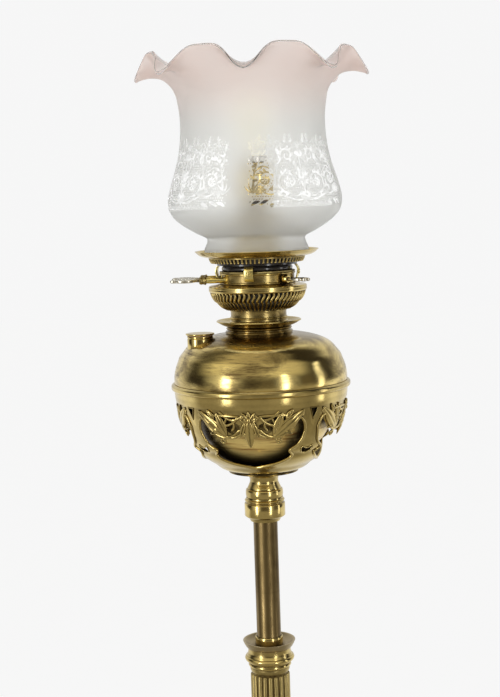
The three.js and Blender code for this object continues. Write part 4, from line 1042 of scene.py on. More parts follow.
# Cradle
CRADLE = curve((0.402, 0.0), (0.402, 0.027), (0.493, 0.06), (0.563, 0.118), (0.625, 0.16), (0.677, 0.2),
               (0.733, 0.255), (0.766, 0.313), (0.82, 0.372), (0.862, 0.462), (0.903, 0.557), (0.942, 0.7),
               (0.975, 0.85), (0.989, 0.895), (1, 1), steps=3)
PANEL_HALF = [(0, 12), (20, 16.5), (31, 21), (35.5, 25.5), (34, 30), (41, 35), (45.5, 41), (49, 50),
              (48.5, 58), (45, 62), (40, 55), (32, 47.5), (24, 44.5), (16, 46.5), (9, 52), (5, 48), (0, 39)]
SCALLOP = [(8.8, 56.5), (9.5, 52), (13.5, 48.8), (19, 49), (21.2, 53.5), (18.5, 58.5), (13, 58.5)]
CRESCENT = [(10, 65), (15, 59), (23, 56), (31, 58.5), (36, 65)]
STRAP_POINT = [(0, 59), (4.5, 70), (-4.5, 70)]
STRAP_SLOT = curve((0, 26), (4.5, 27), (6.8, 30.5), (5.6, 33), (2.5, 31.4), (0, 31), (-2.5, 31.4),
                   (-5.6, 33), (-6.8, 30.5), (-4.5, 27), (0, 26), steps=3)[:-1]
LEAVES = (((0, 62), (0, 35), 9), ((3.4, 61), (8.6, 45), 5), ((23, 45.5), (49.5, 69), 9),
          ((21.5, 47), (31, 68), 7.5), ((0, 60), (0, 70), 5), ((1, 60), (6, 68.5), 4.6),
          ((1.5, 59), (9.5, 65), 4.6), ((33, 62), (40, 70.5), 4.5), ((30, 50), (38, 47.5), 3.4))
VINES = (((3, 61), (6.5, 51), (13, 45.5), (20, 45), (24.5, 49), (23.5, 57), (21, 63)),
         ((4, 67), (10, 63), (16, 61.5), (22, 64), (28, 69)),
         ((16, 62), (14, 56), (16.5, 51.5)))
RINGS = ((25.6, 41), (46.5, 65.5))


class CRADLE_OT_lamp(Operator):
    """Pierced bowl that carries the fount, with rims, leaves, berries and flowers in relief"""
    bl_idname = "lamp.cradle"
    bl_label = "Pierced cradle"

    sides: IntProperty(name="Sides", default=192)
    panels: IntProperty(name="Panels", default=4)
    panel_turn: FloatProperty(name="Front panel's turn", default=radians(-8.8), unit="ROTATION")
    wall: FloatProperty(name="Wall", default=0.002, unit="LENGTH")
    bore: FloatProperty(name="Hole in its foot", default=0.0074, unit="LENGTH")
    vine: FloatProperty(name="Radius of the vines", default=0.00125, unit="LENGTH")
    lift: FloatProperty(name="Lift of the rims and vines", default=0.0002, unit="LENGTH")
    leaf_depth: FloatProperty(name="Thickness of a leaf", default=0.0036, unit="LENGTH")
    leaf_lift: FloatProperty(name="Lift of a leaf", default=0.0007, unit="LENGTH")
    ring_radius: FloatProperty(name="Radius of a ring", default=0.0021, unit="LENGTH")
    ring_wire: FloatProperty(name="Half width of a ring's wire", default=0.001, unit="LENGTH")
    boss_radius: FloatProperty(name="Radius of the boss", default=0.0026, unit="LENGTH")
    boss_lift: FloatProperty(name="Lift of the boss", default=0.0006, unit="LENGTH")
    boss_level: FloatProperty(name="Height of the boss", default=0.0615, unit="LENGTH")

    def execute(self, context):
        _, _, self.bottom, self.height = spot("cradle")
        self.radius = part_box("cradle")[1].x * 1.004
        shell = self.shell()
        self.pierce(shell)
        relief = self.relief(context.scene.lamp_sizes.rim_thickness)
        cradle = joined("cradle_pierced", smooth(shell, 30), relief)
        placed(cradle, turn=self.panel_turn)
        dress(cradle, "cradle", finish_by_slot(context)["relief_brass"])
        return {"FINISHED"}

    def shell(self):
        """The whole bowl, before it is pierced."""
        outer = [(r * self.radius, self.bottom + z * self.height) for r, z in CRADLE]
        inner = [(r - self.wall, z + self.wall) for r, z in outer]
        rim, top = outer[-1]
        outline = [(self.bore, outer[0][1]), *outer, (rim - self.wall, top), *reversed(inner[:-3]),
                   (self.bore, inner[0][1])]
        return turned("cradle_shell", outline, sides=self.sides, bevel=0)

    def radius_at(self, z):
        """Outer radius of the bowl at a height."""
        outer = [(self.bottom + up * self.height, r * self.radius) for r, up in CRADLE]
        for (z0, r0), (z1, r1) in zip(outer, outer[1:]):
            if z <= z1:
                return r0 + (r1 - r0) * max(z - z0, 0) / max(z1 - z0, MM / 100)
        return self.radius

    def pierce(self, shell):
        """Cuts each opening once and repeats it round the bowl."""
        holes = [self.panel(3)]
        for hole in (curve(*CRESCENT, steps=3), curve(*SCALLOP, SCALLOP[0], steps=3)[:-1]):
            holes += [hole, mirrored(reversed(hole))]
        cutters = []
        for turned_by, outlines in ((0, holes), (pi / self.panels, (STRAP_POINT, STRAP_SLOT))):
            for outline in outlines:
                points = [(x * MM, -1.1 * self.radius, self.bottom + z * MM) for x, z in outline]
                cutter = slab("cutter", points, 0.75 * self.radius)
                end_edit()
                placed(cutter, turn=turned_by)
                cutters.append(around(cutter, self.panels))
        cutter = joined("cutters", *cutters)
        applied(shell, "BOOLEAN", operation="DIFFERENCE", object=cutter, solver="EXACT", use_self=True)
        bpy.data.objects.remove(cutter)

    def panel(self, steps):
        """Outline of a whole panel's opening."""
        half = curve(*PANEL_HALF, steps=steps)
        return half + mirrored(reversed(half[1:-1]))

    def on_bowl(self, x, z, lift=0.0):
        """The place on the bowl in front of (x, z), in millimetres above its foot, raised by a lift."""
        height = self.bottom + z * MM
        radius = self.radius_at(height)
        slope = (self.radius_at(height + MM) - self.radius_at(height - MM)) / (2 * MM)
        out = Vector((1, -slope)).normalized()
        turn = x * MM / radius
        side = sqrt(max(1 - turn * turn, 0.01))
        reach = radius + lift * out.x
        return Vector((turn * reach, -side * reach, height + lift * out.y))

    def wrapped(self, piece):
        """Bends a piece modelled flat, with X across, Z up and -Y outwards, onto the bowl."""
        for point in piece.data.vertices:
            x, y, z = point.co
            point.co = self.on_bowl(x / MM, z / MM, -y)
        return piece

    def leaf(self, start, end, width):
        """A pointed, veined leaf with a sunk midrib, from its stalk to its tip."""
        (x0, z0), (x1, z1) = start, end
        length = hypot(x1 - x0, z1 - z0)
        leaf = ball("leaf", MM / 2, 24, 22)
        depth = self.leaf_depth / MM
        for point in leaf.data.vertices:
            along = point.co.z / MM + 0.5
            across = abs(point.co.x) / MM * 2
            rib = 1 - 0.5 * max(0, 1 - across * 4.5)
            vein = 1 - 0.2 * (0.5 + 0.5 * cos(length / 3 * tau * (along - 0.35 * across)))
            taper = 0.6 + 0.4 * sin(pi * min(1, along * 0.9 + 0.1))
            point.co = (point.co.x * width * taper, point.co.y * depth * rib * vein, point.co.z * length)
        lean = atan2(x1 - x0, z1 - z0)
        placed(leaf, ((x0 + x1) / 2 * MM, -self.leaf_lift, (z0 + z1) / 2 * MM), tilt=(0, lean))
        return self.wrapped(leaf)

    def rims(self, thickness):
        """Raised rims round the openings, half as thick on the straps between the panels."""
        crescent = curve(*CRESCENT, CRESCENT[0], steps=4)
        on_panel = (self.panel(4), crescent, mirrored(crescent))
        rims = []
        for outlines, share, turn in ((on_panel, 1, 0), ((STRAP_SLOT, STRAP_POINT), 0.5, pi / self.panels)):
            for outline in outlines:
                points = [self.on_bowl(x, z, self.lift * share) for x, z in outline]
                rims.append(placed(strand("rim", points, thickness * share, closed=True), turn=turn))
        return rims

    def relief(self, rim):
        """Rims, leaves, vines, rings and the boss of one panel, repeated round the bowl."""
        parts = self.rims(rim)
        for start, end, width in LEAVES:
            for side in ((1, -1) if end[0] else (1,)):
                parts.append(self.leaf((side * start[0], start[1]), (side * end[0], end[1]), width))
        for side in (1, -1):
            for vine in VINES:
                points = [self.on_bowl(side * x, z, self.lift) for x, z in curve(*vine)]
                parts.append(strand("vine", points, self.vine))
            for x, z in RINGS:
                ring = added("torus", "ring", major_radius=self.ring_radius, minor_radius=self.ring_wire,
                             major_segments=24, minor_segments=10)
                parts.append(self.wrapped(placed(ring, (side * x * MM, 0, z * MM), tilt=(pi / 2, 0))))
        boss = placed(ball("boss", self.boss_radius), (0, -self.boss_lift, self.boss_level))
        parts.append(self.wrapped(boss))
        for part in parts:
            smooth(part, 60)
        relief = joined("relief", *parts)
        outward(relief)
        return around(relief, self.panels)


# Burner
class AIR_BOWL_OT_lamp(Operator):
    """Burner's air bowl: curved ribs between two bands, over a black wall of painted shade that makes the
    gaps dark
    """
    bl_idname = "lamp.air_bowl"
    bl_label = "Air bowl"

    shadow_wall_shares = [(0.42, 0), (0.63, 0),
                   *curve((0.638, 0.01), (0.69, 0.06), (0.742, 0.152), (0.80, 0.25), (0.835, 0.38),
                          (0.86, 0.5), (0.88, 0.7)), (0.875, 0.7),
                   *curve((0.84, 0.5), (0.81, 0.38), (0.77, 0.26), (0.71, 0.17), (0.65, 0.07), (0.6, 0.04)),
                   (0.42, 0.04)]
    band_shares = [(0.88, 0.69),
                   *curve((0.95, 0.69), (0.985, 0.71), (1, 0.75), (1, 0.82), (1, 0.9), (0.985, 0.93)),
                   (0.97, 0.94), *curve((0.93, 0.945), (0.86, 0.965), (0.814, 1)), (0.72, 1), (0.72, 0.97),
                   (0.8, 0.96), (0.9, 0.92), (0.965, 0.9), (0.97, 0.74), (0.9, 0.72)]
    fat_rib = [(0.965, 0.71), (0.945, 0.64), (0.925, 0.55), (0.90, 0.46), (0.868, 0.37), (0.84, 0.32)]
    thin_rib = [(0.85, 0.34), (0.815, 0.26), (0.765, 0.16), (0.715, 0.09), (0.665, 0.05)]
    bead_place = (0.66, 0.045)
    sway: FloatProperty(name="Sway of a rib", default=0.0011, unit="LENGTH")
    fat: FloatProperty(name="Radius of an upper rib", default=0.00145, unit="LENGTH")
    thin: FloatProperty(name="Radius of a lower rib", default=0.00075, unit="LENGTH")
    bead: FloatProperty(name="Radius of a bead", default=0.00095, unit="LENGTH")

    def execute(self, context):
        finishes = finish_by_slot(context)
        count = context.scene.lamp_sizes.rib_count
        low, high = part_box("air_bowl")
        self.radius, self.bottom, self.height = -low.x, low.z, high.z - low.z
        wall = turned("air_bowl_shadow_wall", self.lengths(self.shadow_wall_shares), bevel=0)
        band = turned("air_bowl_band", self.lengths(self.band_shares))
        ribs = [self.rib(self.fat_rib, self.fat, self.sway), self.rib(self.thin_rib, self.thin, 0)]
        (reach, level), = self.lengths([self.bead_place])
        ribs.append(smooth(placed(ball("bead", self.bead, 10, 8), (reach, 0, level)), 60))
        bright = joined("air_bowl_ribs", band, *[around(rib, count) for rib in ribs])
        dress(bright, "air_bowl", finishes["brass"])
        # The black wall behind the ribs is painted shade, standing for the dark inside of the bowl seen
        # through the gaps
        dress(wall, "air_bowl", finishes["black"], hide=False)
        return {"FINISHED"}

    def lengths(self, shares):
        """Shares of the bowl's own radius and height as lengths."""
        return [(r * self.radius, self.bottom + z * self.height) for r, z in shares]

    def rib(self, shares, thickness, sway):
        """One rib that sways to either side of its own plane."""
        run = curve(*self.lengths(shares), steps=2)
        last = len(run) - 1
        points = [(r, sway * sin(tau * i / last), z) for i, (r, z) in enumerate(run)]
        thin = [0.62 + 0.38 * sin(pi * i / last) for i in range(len(run))]
        return strand("rib", points, thickness, thin=thin)


class BURNER_OT_lamp(Operator):
    """Deck ring, and the sleeves of the winders with their nuts"""
    bl_idname = "lamp.burner"
    bl_label = "Burner fittings"

    sides: IntProperty(name="Sides", default=40)
    bore: FloatProperty(name="Bore of a sleeve", default=0.0018, unit="LENGTH")
    pipe_radius: FloatProperty(name="Radius of a sleeve's pipe", default=0.0029, unit="LENGTH")
    nut_length: FloatProperty(name="Length of a sleeve's nut", default=0.0068, unit="LENGTH")

    # Share of the sleeve's radius, and the nut's waist in shares of that and millimetres from its start
    nut_share = 0.86
    waist = curve((0.95, 0.3), (1, 1.2), (0.9, 2.2), (0.84, 3.4), (0.9, 4.6), (0.84, 6.2))

    def execute(self, context):
        finishes = finish_by_slot(context)
        dress(turned("deck_ring_turned", sized("deck_ring", DECK_RING)), "deck_ring", finishes["brass"])
        for side in ("front", "back"):
            node = "winder_sleeve_" + side
            low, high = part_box(node)
            length = high.x - low.x
            end = length - self.nut_length
            wide = self.nut_share * (high.z - low.z) / 2
            bore, radius = self.bore, self.pipe_radius
            outline = [(bore, 0), (radius, 0), (radius, end), (bore, end)]
            pipe = turned(node + "_pipe", outline, sides=self.sides)
            waist = [(wide * share, end + along * MM) for share, along in self.waist]
            outline = [(bore, end), (wide * 0.8, end), *waist, (wide * 0.6, length), (bore, length)]
            nut = turned(node + "_nut", outline, sides=self.sides)
            for piece, finish, first in ((pipe, "pale_brass", True), (nut, "nut_brass", False)):
                placed(piece, (high.x, (low.y + high.y) / 2, (low.z + high.z) / 2), tilt=(0, -pi / 2))
                dress(piece, node, finishes[finish], hide=first)
        return {"FINISHED"}


class KEYS_OT_lamp(Operator):
    """Openwork winder keys and the extinguisher's lever"""
    bl_idname = "lamp.keys"
    bl_label = "Winder keys"

    shaft: FloatProperty(name="Radius of a shaft", default=0.0015, unit="LENGTH")
    key_start: FloatProperty(name="Start of a key's wings, along X", default=-0.056, unit="LENGTH")
    key_half: FloatProperty(name="Half width of a key", default=0.0104, unit="LENGTH")
    key_tip: FloatProperty(name="Length of a shaft past its key", default=0.003, unit="LENGTH")
    wheel_radius: FloatProperty(name="Radius of a wick wheel", default=0.006, unit="LENGTH")
    wheel_width: FloatProperty(name="Width of a wick wheel", default=0.0024, unit="LENGTH")
    wheel_place: FloatProperty(name="Wick wheels' distance from the middle", default=0.006, unit="LENGTH")
    lever_turn: FloatProperty(name="Lever's turn", default=radians(-47.7), unit="ROTATION")
    lever_start: FloatProperty(name="Start of the lever's wings", default=0.0435, unit="LENGTH")
    lever_end: FloatProperty(name="End of the lever", default=0.0678, unit="LENGTH")
    lever_half: FloatProperty(name="Half width of the lever", default=0.0066, unit="LENGTH")
    spindle_start: FloatProperty(name="Start of the lever's shaft", default=0.025, unit="LENGTH")
    spindle_end: FloatProperty(name="End of the lever's shaft", default=0.046, unit="LENGTH")
    bush_start: FloatProperty(name="Start of the lever's bush", default=0.031, unit="LENGTH")
    wire: FloatProperty(name="Radius of the wings' wire", default=0.00115, unit="LENGTH")
    stem: FloatProperty(name="Radius of the wings' stem", default=0.0012, unit="LENGTH")

    # In shares of a key's length and half width
    wing = [(0.02, 0.1), (0.12, 0.45), (0.3, 0.9), (0.52, 1), (0.72, 0.85), (0.8, 0.6), (0.72, 0.42),
            (0.58, 0.42), (0.5, 0.56), (0.54, 0.68)]
    tail = [(0.3, 0.2), (0.5, 0.18), (0.7, 0.25), (0.88, 0.5), (1, 0.4), (0.97, 0.15), (0.86, 0.0)]
    stem_share = 0.86
    knob_share = 0.9
    # Radius and place along the shaft, in millimetres
    bush = [(1.8, 0), (2.6, 0), (2.6, 6), (4.2, 6.4), (4.4, 9), (3.4, 12), (1.8, 12)]

    def execute(self, context):
        finishes = finish_by_slot(context)
        for side in ("front", "back"):
            node = "winder_" + side
            low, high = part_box(node)
            middle = (low + high) / 2
            tip = self.key_start - self.key_tip
            parts = [self.butterfly("key", self.key_start, low.x, self.key_half),
                     strand("shaft", [(tip, 0, 0), (high.x, 0, 0)], self.shaft, rings=3)]
            for place in (-self.wheel_place, self.wheel_place):
                wheel = added("cylinder", "wheel", radius=self.wheel_radius, depth=self.wheel_width,
                              vertices=24)
                parts.append(placed(wheel, (place, 0, 0), tilt=(0, pi / 2)))
            key = joined(node + "_key", *parts)
            placed(smooth(key, 40), (0, middle.y, middle.z))
            dress(key, node, finishes["worn_brass"])
        self.lever(finishes)
        return {"FINISHED"}

    def butterfly(self, name, start, end, half):
        """Two scrolled wings of wire round a middle stem."""
        length = end - start
        parts = []
        for side in (1, -1):
            for shares in (self.wing, self.tail):
                points = curve(*[(start + along * length, side * across * half, 0)
                                 for along, across in shares])
                last = len(points) - 1
                thin = [0.75 + 0.35 * sin(pi * i / last) for i in range(len(points))]
                parts.append(strand("wire", points, self.wire, thin=thin))
        parts.append(strand("stem", [(start, 0, 0), (start + self.stem_share * length, 0, 0)], self.stem))
        parts.append(placed(ball("knob", self.shaft), (start + self.knob_share * length, 0, 0)))
        return placed(joined(name, *parts), scale=(1, 1, 1.25))

    def lever(self, finishes):
        """The extinguisher's lever and the bush that it turns in."""
        level = (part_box("lever_bush")[0].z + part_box("lever_bush")[1].z) / 2
        wing = self.butterfly("lever_wing", self.lever_start, self.lever_end, self.lever_half)
        shaft = strand("lever_shaft", [(self.spindle_start, 0, 0), (self.spindle_end, 0, 0)], self.shaft,
                       rings=3)
        lever = joined("snuffer_lever_wing", wing, shaft)
        placed(smooth(lever, 40), (0, 0, level), self.lever_turn)
        dress(lever, "snuffer_lever", finishes["worn_brass"])
        bush = turned("lever_bush_turned", [(r * MM, along * MM) for r, along in self.bush], sides=40)
        placed(bush, (self.bush_start, 0, 0), tilt=(0, pi / 2))
        placed(bush, (0, 0, level), self.lever_turn)
        dress(bush, "lever_bush", finishes["brass"])


# Light
class BULB_OT_lamp(Operator):
    """Opal bulb"""
    bl_idname = "lamp.bulb"
    bl_label = "Bulb"

    neck: FloatProperty(name="Neck's radius", default=0.0117, unit="LENGTH")
    wall: FloatProperty(name="Wall", default=0.001, unit="LENGTH")

    def execute(self, context):
        _, radius, bottom, height = spot("bulb_glass")
        neck, wall = self.neck, self.wall
        centre = bottom + height - radius
        turns = [pi * i / 24 for i in range(5, 24)]
        globe = [(radius * sin(turn), centre - radius * cos(turn)) for turn in turns]
        shoulder = curve((neck, bottom), (neck, bottom + 0.12 * height),
                         (neck * 1.12, bottom + 0.2 * height), globe[0])
        outer = [*shoulder[:-1], *globe, (0, centre + radius)]
        inner = [(max(r - wall, 0), z - (wall if z > centre else 0)) for r, z in reversed(outer)]
        glass = turned("bulb_glass_blown", [*outer, *inner], sides=64, bevel=0)
        dress(glass, "bulb_glass", finish_by_slot(context)["opal_glass"])
        return {"FINISHED"}


class GALLERY_OT_lamp(Operator):
    """Toothed crown over a black skin of painted shade, and the four spring clips of the gallery"""
    bl_idname = "lamp.gallery"
    bl_label = "Gallery"

    bore: FloatProperty(name="Crown's bore", default=0.0314, unit="LENGTH")
    foot: FloatProperty(name="Radius of the crown's foot", default=0.0386, unit="LENGTH")
    strut: FloatProperty(name="Radius of a tooth", default=0.00085, unit="LENGTH")
    bead: FloatProperty(name="Radius of a tooth's bead", default=0.00105, unit="LENGTH")
    clip_turn: FloatProperty(name="Front clip's turn", default=radians(-12), unit="ROTATION")
    clip_inside: FloatProperty(name="Clips' reach", default=0.0368, unit="LENGTH")
    clip_width: FloatProperty(name="Clips' width", default=0.0086, unit="LENGTH")
    clip_height: FloatProperty(name="Clips' height", default=0.0144, unit="LENGTH")
    clip_bulge: FloatProperty(name="Clips' bulge", default=0.0026, unit="LENGTH")
    clip_wall: FloatProperty(name="Clips' thickness", default=0.0012, unit="LENGTH")
    clip_round: FloatProperty(name="Rounding of the clips' corners", default=0.0022, unit="LENGTH")
    petal: FloatProperty(name="Radius of a petal", default=0.0007, unit="LENGTH")

    # The crown's section in millimetres: inwards from its rim and up from its foot, or down from its top
    shadow_skin_from_foot = [(4.2, 2), (5, 3)]
    shadow_skin_from_top = [(2.6, 0.6), (3.4, 0.6)]
    lip_from_top = [(3.4, 0.9), (0.2, 0.9), (0, 0), (3.4, 0)]
    tooth_from_top = [(0.8, 0.5), (1.5, 2.6)]
    tooth_from_foot = [(2.7, 3.2)]
    # The crown's floor, outside and inside
    floor = (1.2 * MM, 2.2 * MM)
    # A clip's rosette: radius and height in millimetres
    rosette = [(0, 0), (2.4, 0), *curve((2.3, 0.4), (1.2, 0.8), (0, 0.9))]
    petal_place = (1.8 * MM, 0, 0.5 * MM)

    def execute(self, context):
        finishes = finish_by_slot(context)
        count = context.scene.lamp_sizes.tooth_count
        low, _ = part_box("gallery_crown")
        outside, inside = self.from_foot(self.shadow_skin_from_foot)
        skin = turned("crown_shadow_skin", [
            (self.bore, low.z), (self.foot, low.z), (self.foot, low.z + self.floor[0]), outside,
            *self.from_top(self.shadow_skin_from_top), inside, (self.bore, low.z + self.floor[1])], bevel=0)
        lip = turned("crown_lip", self.from_top(self.lip_from_top))
        tooth = self.from_top(self.tooth_from_top) + self.from_foot(self.tooth_from_foot)
        points = [(r, 0, z) for r, z in tooth]
        strut = strand("strut", points, self.strut, rings=1)
        bead = placed(ball("bead", self.bead, 10, 8), points[-1])
        teeth = [around(smooth(tooth, 60), count) for tooth in (strut, bead)]
        dress(joined("gallery_crown_toothed", lip, *teeth), "gallery_crown", finishes["brass"])
        # The black skin behind the teeth is painted shade, so that the gaps between them look dark
        dress(skin, "gallery_crown", finishes["black"], hide=False)
        for i, side in enumerate(SIDES):
            self.clip(side, self.clip_turn + (i - 1) * pi / 2, finishes["pale_brass"])
        return {"FINISHED"}

    def from_foot(self, places):
        """Places inwards from the crown's rim and up from its foot, as radius and height."""
        low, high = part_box("gallery_crown")
        return [(high.x - inwards * MM, low.z + up * MM) for inwards, up in places]

    def from_top(self, places):
        """Places inwards from the crown's rim and down from its top, as radius and height."""
        _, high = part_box("gallery_crown")
        return [(high.x - inwards * MM, high.z - down * MM) for inwards, down in places]

    def clip(self, side, turn, finish):
        """A bent leaf of spring brass with a round rosette."""
        node = "gallery_clip_" + side
        _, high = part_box(node)
        reach, bulge, height, wall = self.clip_inside, self.clip_bulge, self.clip_height, self.clip_wall
        path = curve((reach, 0), (reach + bulge, -0.3 * height), (reach + 0.7 * bulge, -0.75 * height),
                     (reach + 0.1 * bulge, -height), steps=5)
        outline = [*path, *[(r + wall, z) for r, z in reversed(path)]]
        points = [(r, -self.clip_width / 2, high.z + z) for r, z in outline]
        leaf = slab(node + "_leaf", points, self.clip_width)
        self.round_foot(leaf, high.z - height)
        end_edit()
        applied(leaf, "BEVEL", width=self.clip_wall / 6, segments=2, limit_method="ANGLE",
                angle_limit=radians(50))
        boss = turned("boss", [(r * MM, z * MM) for r, z in self.rosette], sides=32, bevel=0)
        petals = around(placed(ball("petal", self.petal, 10, 8), self.petal_place), 6)
        boss = placed(joined("boss", boss, petals), (reach + bulge + 0.8 * wall, 0, high.z - height / 2),
                      tilt=(0, pi / 2))
        clip = placed(joined(node + "_bent", smooth(leaf), smooth(boss, 60)), turn=turn)
        dress(clip, node, finish)

    def round_foot(self, leaf, foot):
        """Rounds the two lower corners of a clip."""
        mesh = bmesh.from_edit_mesh(leaf.data)
        for edge in mesh.edges:
            one, other = (point.co for point in edge.verts)
            low = max(one.z, other.z) < foot + MM
            edge.select_set(low and abs(one.y - other.y) < MM / 10 and abs(one.x - other.x) > MM)
        bmesh.update_edit_mesh(leaf.data)
        bpy.ops.mesh.bevel(offset=self.clip_round, segments=5)


# Shade: outlines of (radius, height) in millimetres
SHADE_BODY = [(49.9, 0), (49.9, 6.3), (47.4, 12.6), (47.8, 17.2), (56.4, 21.7), (68.9, 29.3), (78, 37.1),
              (82.4, 44.7), (83.4, 52.4), (82.4, 60.1), (79.2, 71.6), (74.4, 87), (71.1, 102.3),
              (69.5, 117.7), (69.4, 133.1), (71.3, 148.4)]
TROUGH = [(73, 156), (77.1, 163), (83.9, 169.5), (90.6, 172), (98.9, 172.3), (107.2, 170.4), (110, 169)]
CREST = [(73.4, 155), (76.6, 163), (81.5, 170.5), (87.5, 177.7), (94, 184.5), (98, 188.5), (100.6, 191.5)]
# Points of a scroll in one turn
SPIRAL_STEPS = 14


def spiral(middle, radius, start, turns, hand):
    """A scroll that winds in from its outer end, in millimetres."""
    steps = round(turns * SPIRAL_STEPS)
    places = []
    for i in range(steps + 1):
        share = i / steps
        turn = start + hand * tau * turns * share
        reach = radius * (1 - 0.86 * share ** 0.9)
        places.append((middle[0] + reach * cos(turn), middle[1] + reach * sin(turn)))
    return places


class Ornament:
    """Strokes of the polished ornament on one half panel, in millimetres across and up"""

    # Boldness of the strokes, and the steps of their marks, of the dots and of the arches
    bold = 1.12
    mark_step = 0.4
    dot_step = 2.3
    arch_step = 4.4

    # Points of a stroke, and its half width at its start and at its end
    strokes = (
        ([(0, 5), (0, 20), (0, 34), (0, 60)], 0.8, 0.4),
        ([(0.5, 8), (8, 6.5), (17, 9), (28, 13)], 1.0, 0.6),
        ([(28, 13), (34, 12), (40, 14)], 0.8, 0.5),
        ([(27, 30), (25, 38), (20, 44)], 0.9, 0.5),
        ([(3, 16), (6, 11), (11, 10), (15, 13)], 0.7, 0.4),
        ([(4, 34), (7, 38), (6, 43), (3, 45)], 0.7, 0.4),
        ([(30, 33), (36, 37), (42, 37), (46, 33)], 0.7, 0.4))
    # Height and length of the leaves on the middle stalk, and their leans in degrees
    stalk_leaves = ((10, 7), (30, 8), (47, 6))
    stalk_leans = (20, 48, 78)
    # Middle, radius, turn of the outer end in degrees, turns, hand and leaves of a scroll
    scrolls = (
        ((16, 23.5), 11, -80, 1.6, 1, 9),
        ((37, 25.5), 9.5, -110, 1.5, -1, 8),
        ((14, 47), 7.5, -30, 1.4, 1, 7),
        ((30, 47.5), 7.2, 200, 1.4, -1, 7),
        ((44, 45), 5.5, -70, 1.3, 1, 5))
    # Middle, radius and petals of a flower
    flowers = ((0, 24.5, 5.4, 10), (0, 57, 3.4, 8), (16, 23.5, 4.2, 8), (37, 25.5, 3.8, 8),
               (26, 38, 2.6, 7), (6.5, 40, 2.2, 6))
    # Middle and radius of a ring
    rings = ((22.5, 58, 2.6), (37, 58, 2.2))
    # Foot, lean in degrees and length of a spray
    sprays = ((7, 58, 10, 8), (15, 58, -12, 8), (29, 57, 14, 8), (42, 55, -8, 9), (49, 52, 20, 7))

    def __init__(self, half_width, height):
        self.half_width, self.height = half_width, height
        self.marks = []
        self.foliage()
        self.borders()
        self.fill()
        self.finished = self.tree()

    def mark(self, x, z, half):
        """One round mark with its half width."""
        self.marks.append((x, z, half * self.bold))

    def line(self, points, half=0.55, end=0.35, steps=5):
        """A stroke that thins towards its end."""
        run = curve(*points, steps=steps) if len(points) > 2 else points
        for (xa, za), (xb, zb), i in zip(run, run[1:], range(len(run))):
            count = max(1, round(hypot(xb - xa, zb - za) / self.mark_step))
            for j in range(count):
                share = j / count
                width = half + (end - half) * (i + share) / (len(run) - 1)
                self.mark(xa + (xb - xa) * share, za + (zb - za) * share, width)

    def leaf(self, x, z, lean, length, half=1.1):
        """A pointed leaf from its stalk at (x, z)."""
        count = round(length / self.mark_step)
        for i in range(count + 1):
            share = i / count
            bow = 0.12 * length * sin(pi * share)
            along = share * length
            self.mark(x + along * sin(lean) + bow * cos(lean), z + along * cos(lean) - bow * sin(lean),
                      max(0.15, half * sin(pi * min(1, share * 0.9 + 0.1))))

    def spray(self, x, z, lean, length, leaves, half=0.8):
        """A stalk with pairs of leaves and one at its tip."""
        self.line([(x, z), (x + length * sin(lean), z + length * cos(lean))], 0.4, 0.3)
        for i in range(leaves):
            share = (i + 0.5) / leaves
            at = (x + share * length * sin(lean), z + share * length * cos(lean))
            for side in (1, -1):
                self.leaf(*at, lean + side * radians(48), length * 0.34 * (1.1 - 0.5 * share), half)
        self.leaf(x + length * sin(lean), z + length * cos(lean), lean, length * 0.3, half)

    def flower(self, x, z, radius, petals):
        """Petals round a ringed middle."""
        for i in range(petals):
            turn = tau * i / petals
            for share in (0.62, 0.8, 0.95):
                self.mark(x + share * radius * cos(turn), z + share * radius * sin(turn), radius * 0.17)
        self.ring(x, z, radius * 0.36, 0.3)
        self.mark(x, z, 0.5)

    def ring(self, x, z, radius, half=0.4):
        """A thin circle."""
        count = max(8, round(tau * radius / 0.45))
        for i in range(count):
            turn = tau * i / count
            self.mark(x + radius * cos(turn), z + radius * sin(turn), half)

    def scroll(self, middle, radius, start, turns, hand, leaves):
        """A scroll with leaves along its outer side."""
        run = spiral(middle, radius, start, turns, hand)
        self.line(run, 0.95, 0.4, steps=2)
        for i in range(leaves):
            at = run[round(i * SPIRAL_STEPS * 0.8 / leaves)]
            out = atan2(at[0] - middle[0], at[1] - middle[1])
            self.leaf(*at, out - hand * radians(38), 5.2 - 0.25 * i, 1.0)

    def foliage(self):
        """The middle stalk, the scrolls, flowers and sprays, and the edge of the panel."""
        for points, start, end in self.strokes:
            self.line(points, start, end)
        for height, length in self.stalk_leaves:
            for lean in self.stalk_leans:
                self.leaf(0.4, height, radians(lean), length)
        for middle, radius, start, turns, hand, leaves in self.scrolls:
            self.scroll(middle, radius, radians(start), turns, hand, leaves)
        for x, z, radius, petals in self.flowers:
            self.flower(x, z, radius, petals)
        for x, z, radius in self.rings:
            self.ring(x, z, radius)
        for x, z, lean, length in self.sprays:
            self.spray(x, z, radians(lean), length, 3, 0.7)
        self.edge(self.half_width - 5)

    def edge(self, foot):
        """A tall spray beside the gap, with a fan of thin leaves and a broad leaf at its foot."""
        self.line([(foot, 16), (foot - 1, 30), (foot - 5, 42), (foot - 13, 51)], 0.9, 0.4)
        for i in range(5):
            self.leaf(foot, 13, radians(25 * i - 58), 13, 0.65)
        for i in range(5):
            self.leaf(foot - 2.2 * i, 24 + 5.5 * i, radians(-82), 5, 1.0)
            self.leaf(foot - 2.2 * i, 27 + 5.5 * i, radians(28), 4.5, 0.8)
        for lean in (-62, -44, -26):
            self.leaf(foot - 3, 12, radians(lean), 10, 1.7)
        for x, lean in ((2, -68), (-6, -60), (-15, -70)):
            self.leaf(foot + x, 2.5, radians(lean), 9, 1.3)

    def borders(self):
        """A line and a row of small arches along the foot."""
        for i in range(int(self.half_width / self.arch_step) - 4):
            x = (i + 0.5) * self.arch_step
            for share in range(7):
                turn = pi * share / 6
                self.mark(x + 1.7 * cos(turn), 1.2 + 2.8 * sin(turn), 0.45)
            self.mark(x, 2, 0.55)
        self.line([(0, 0.6), (self.half_width - 20, 0.6)], 0.45, 0.45)

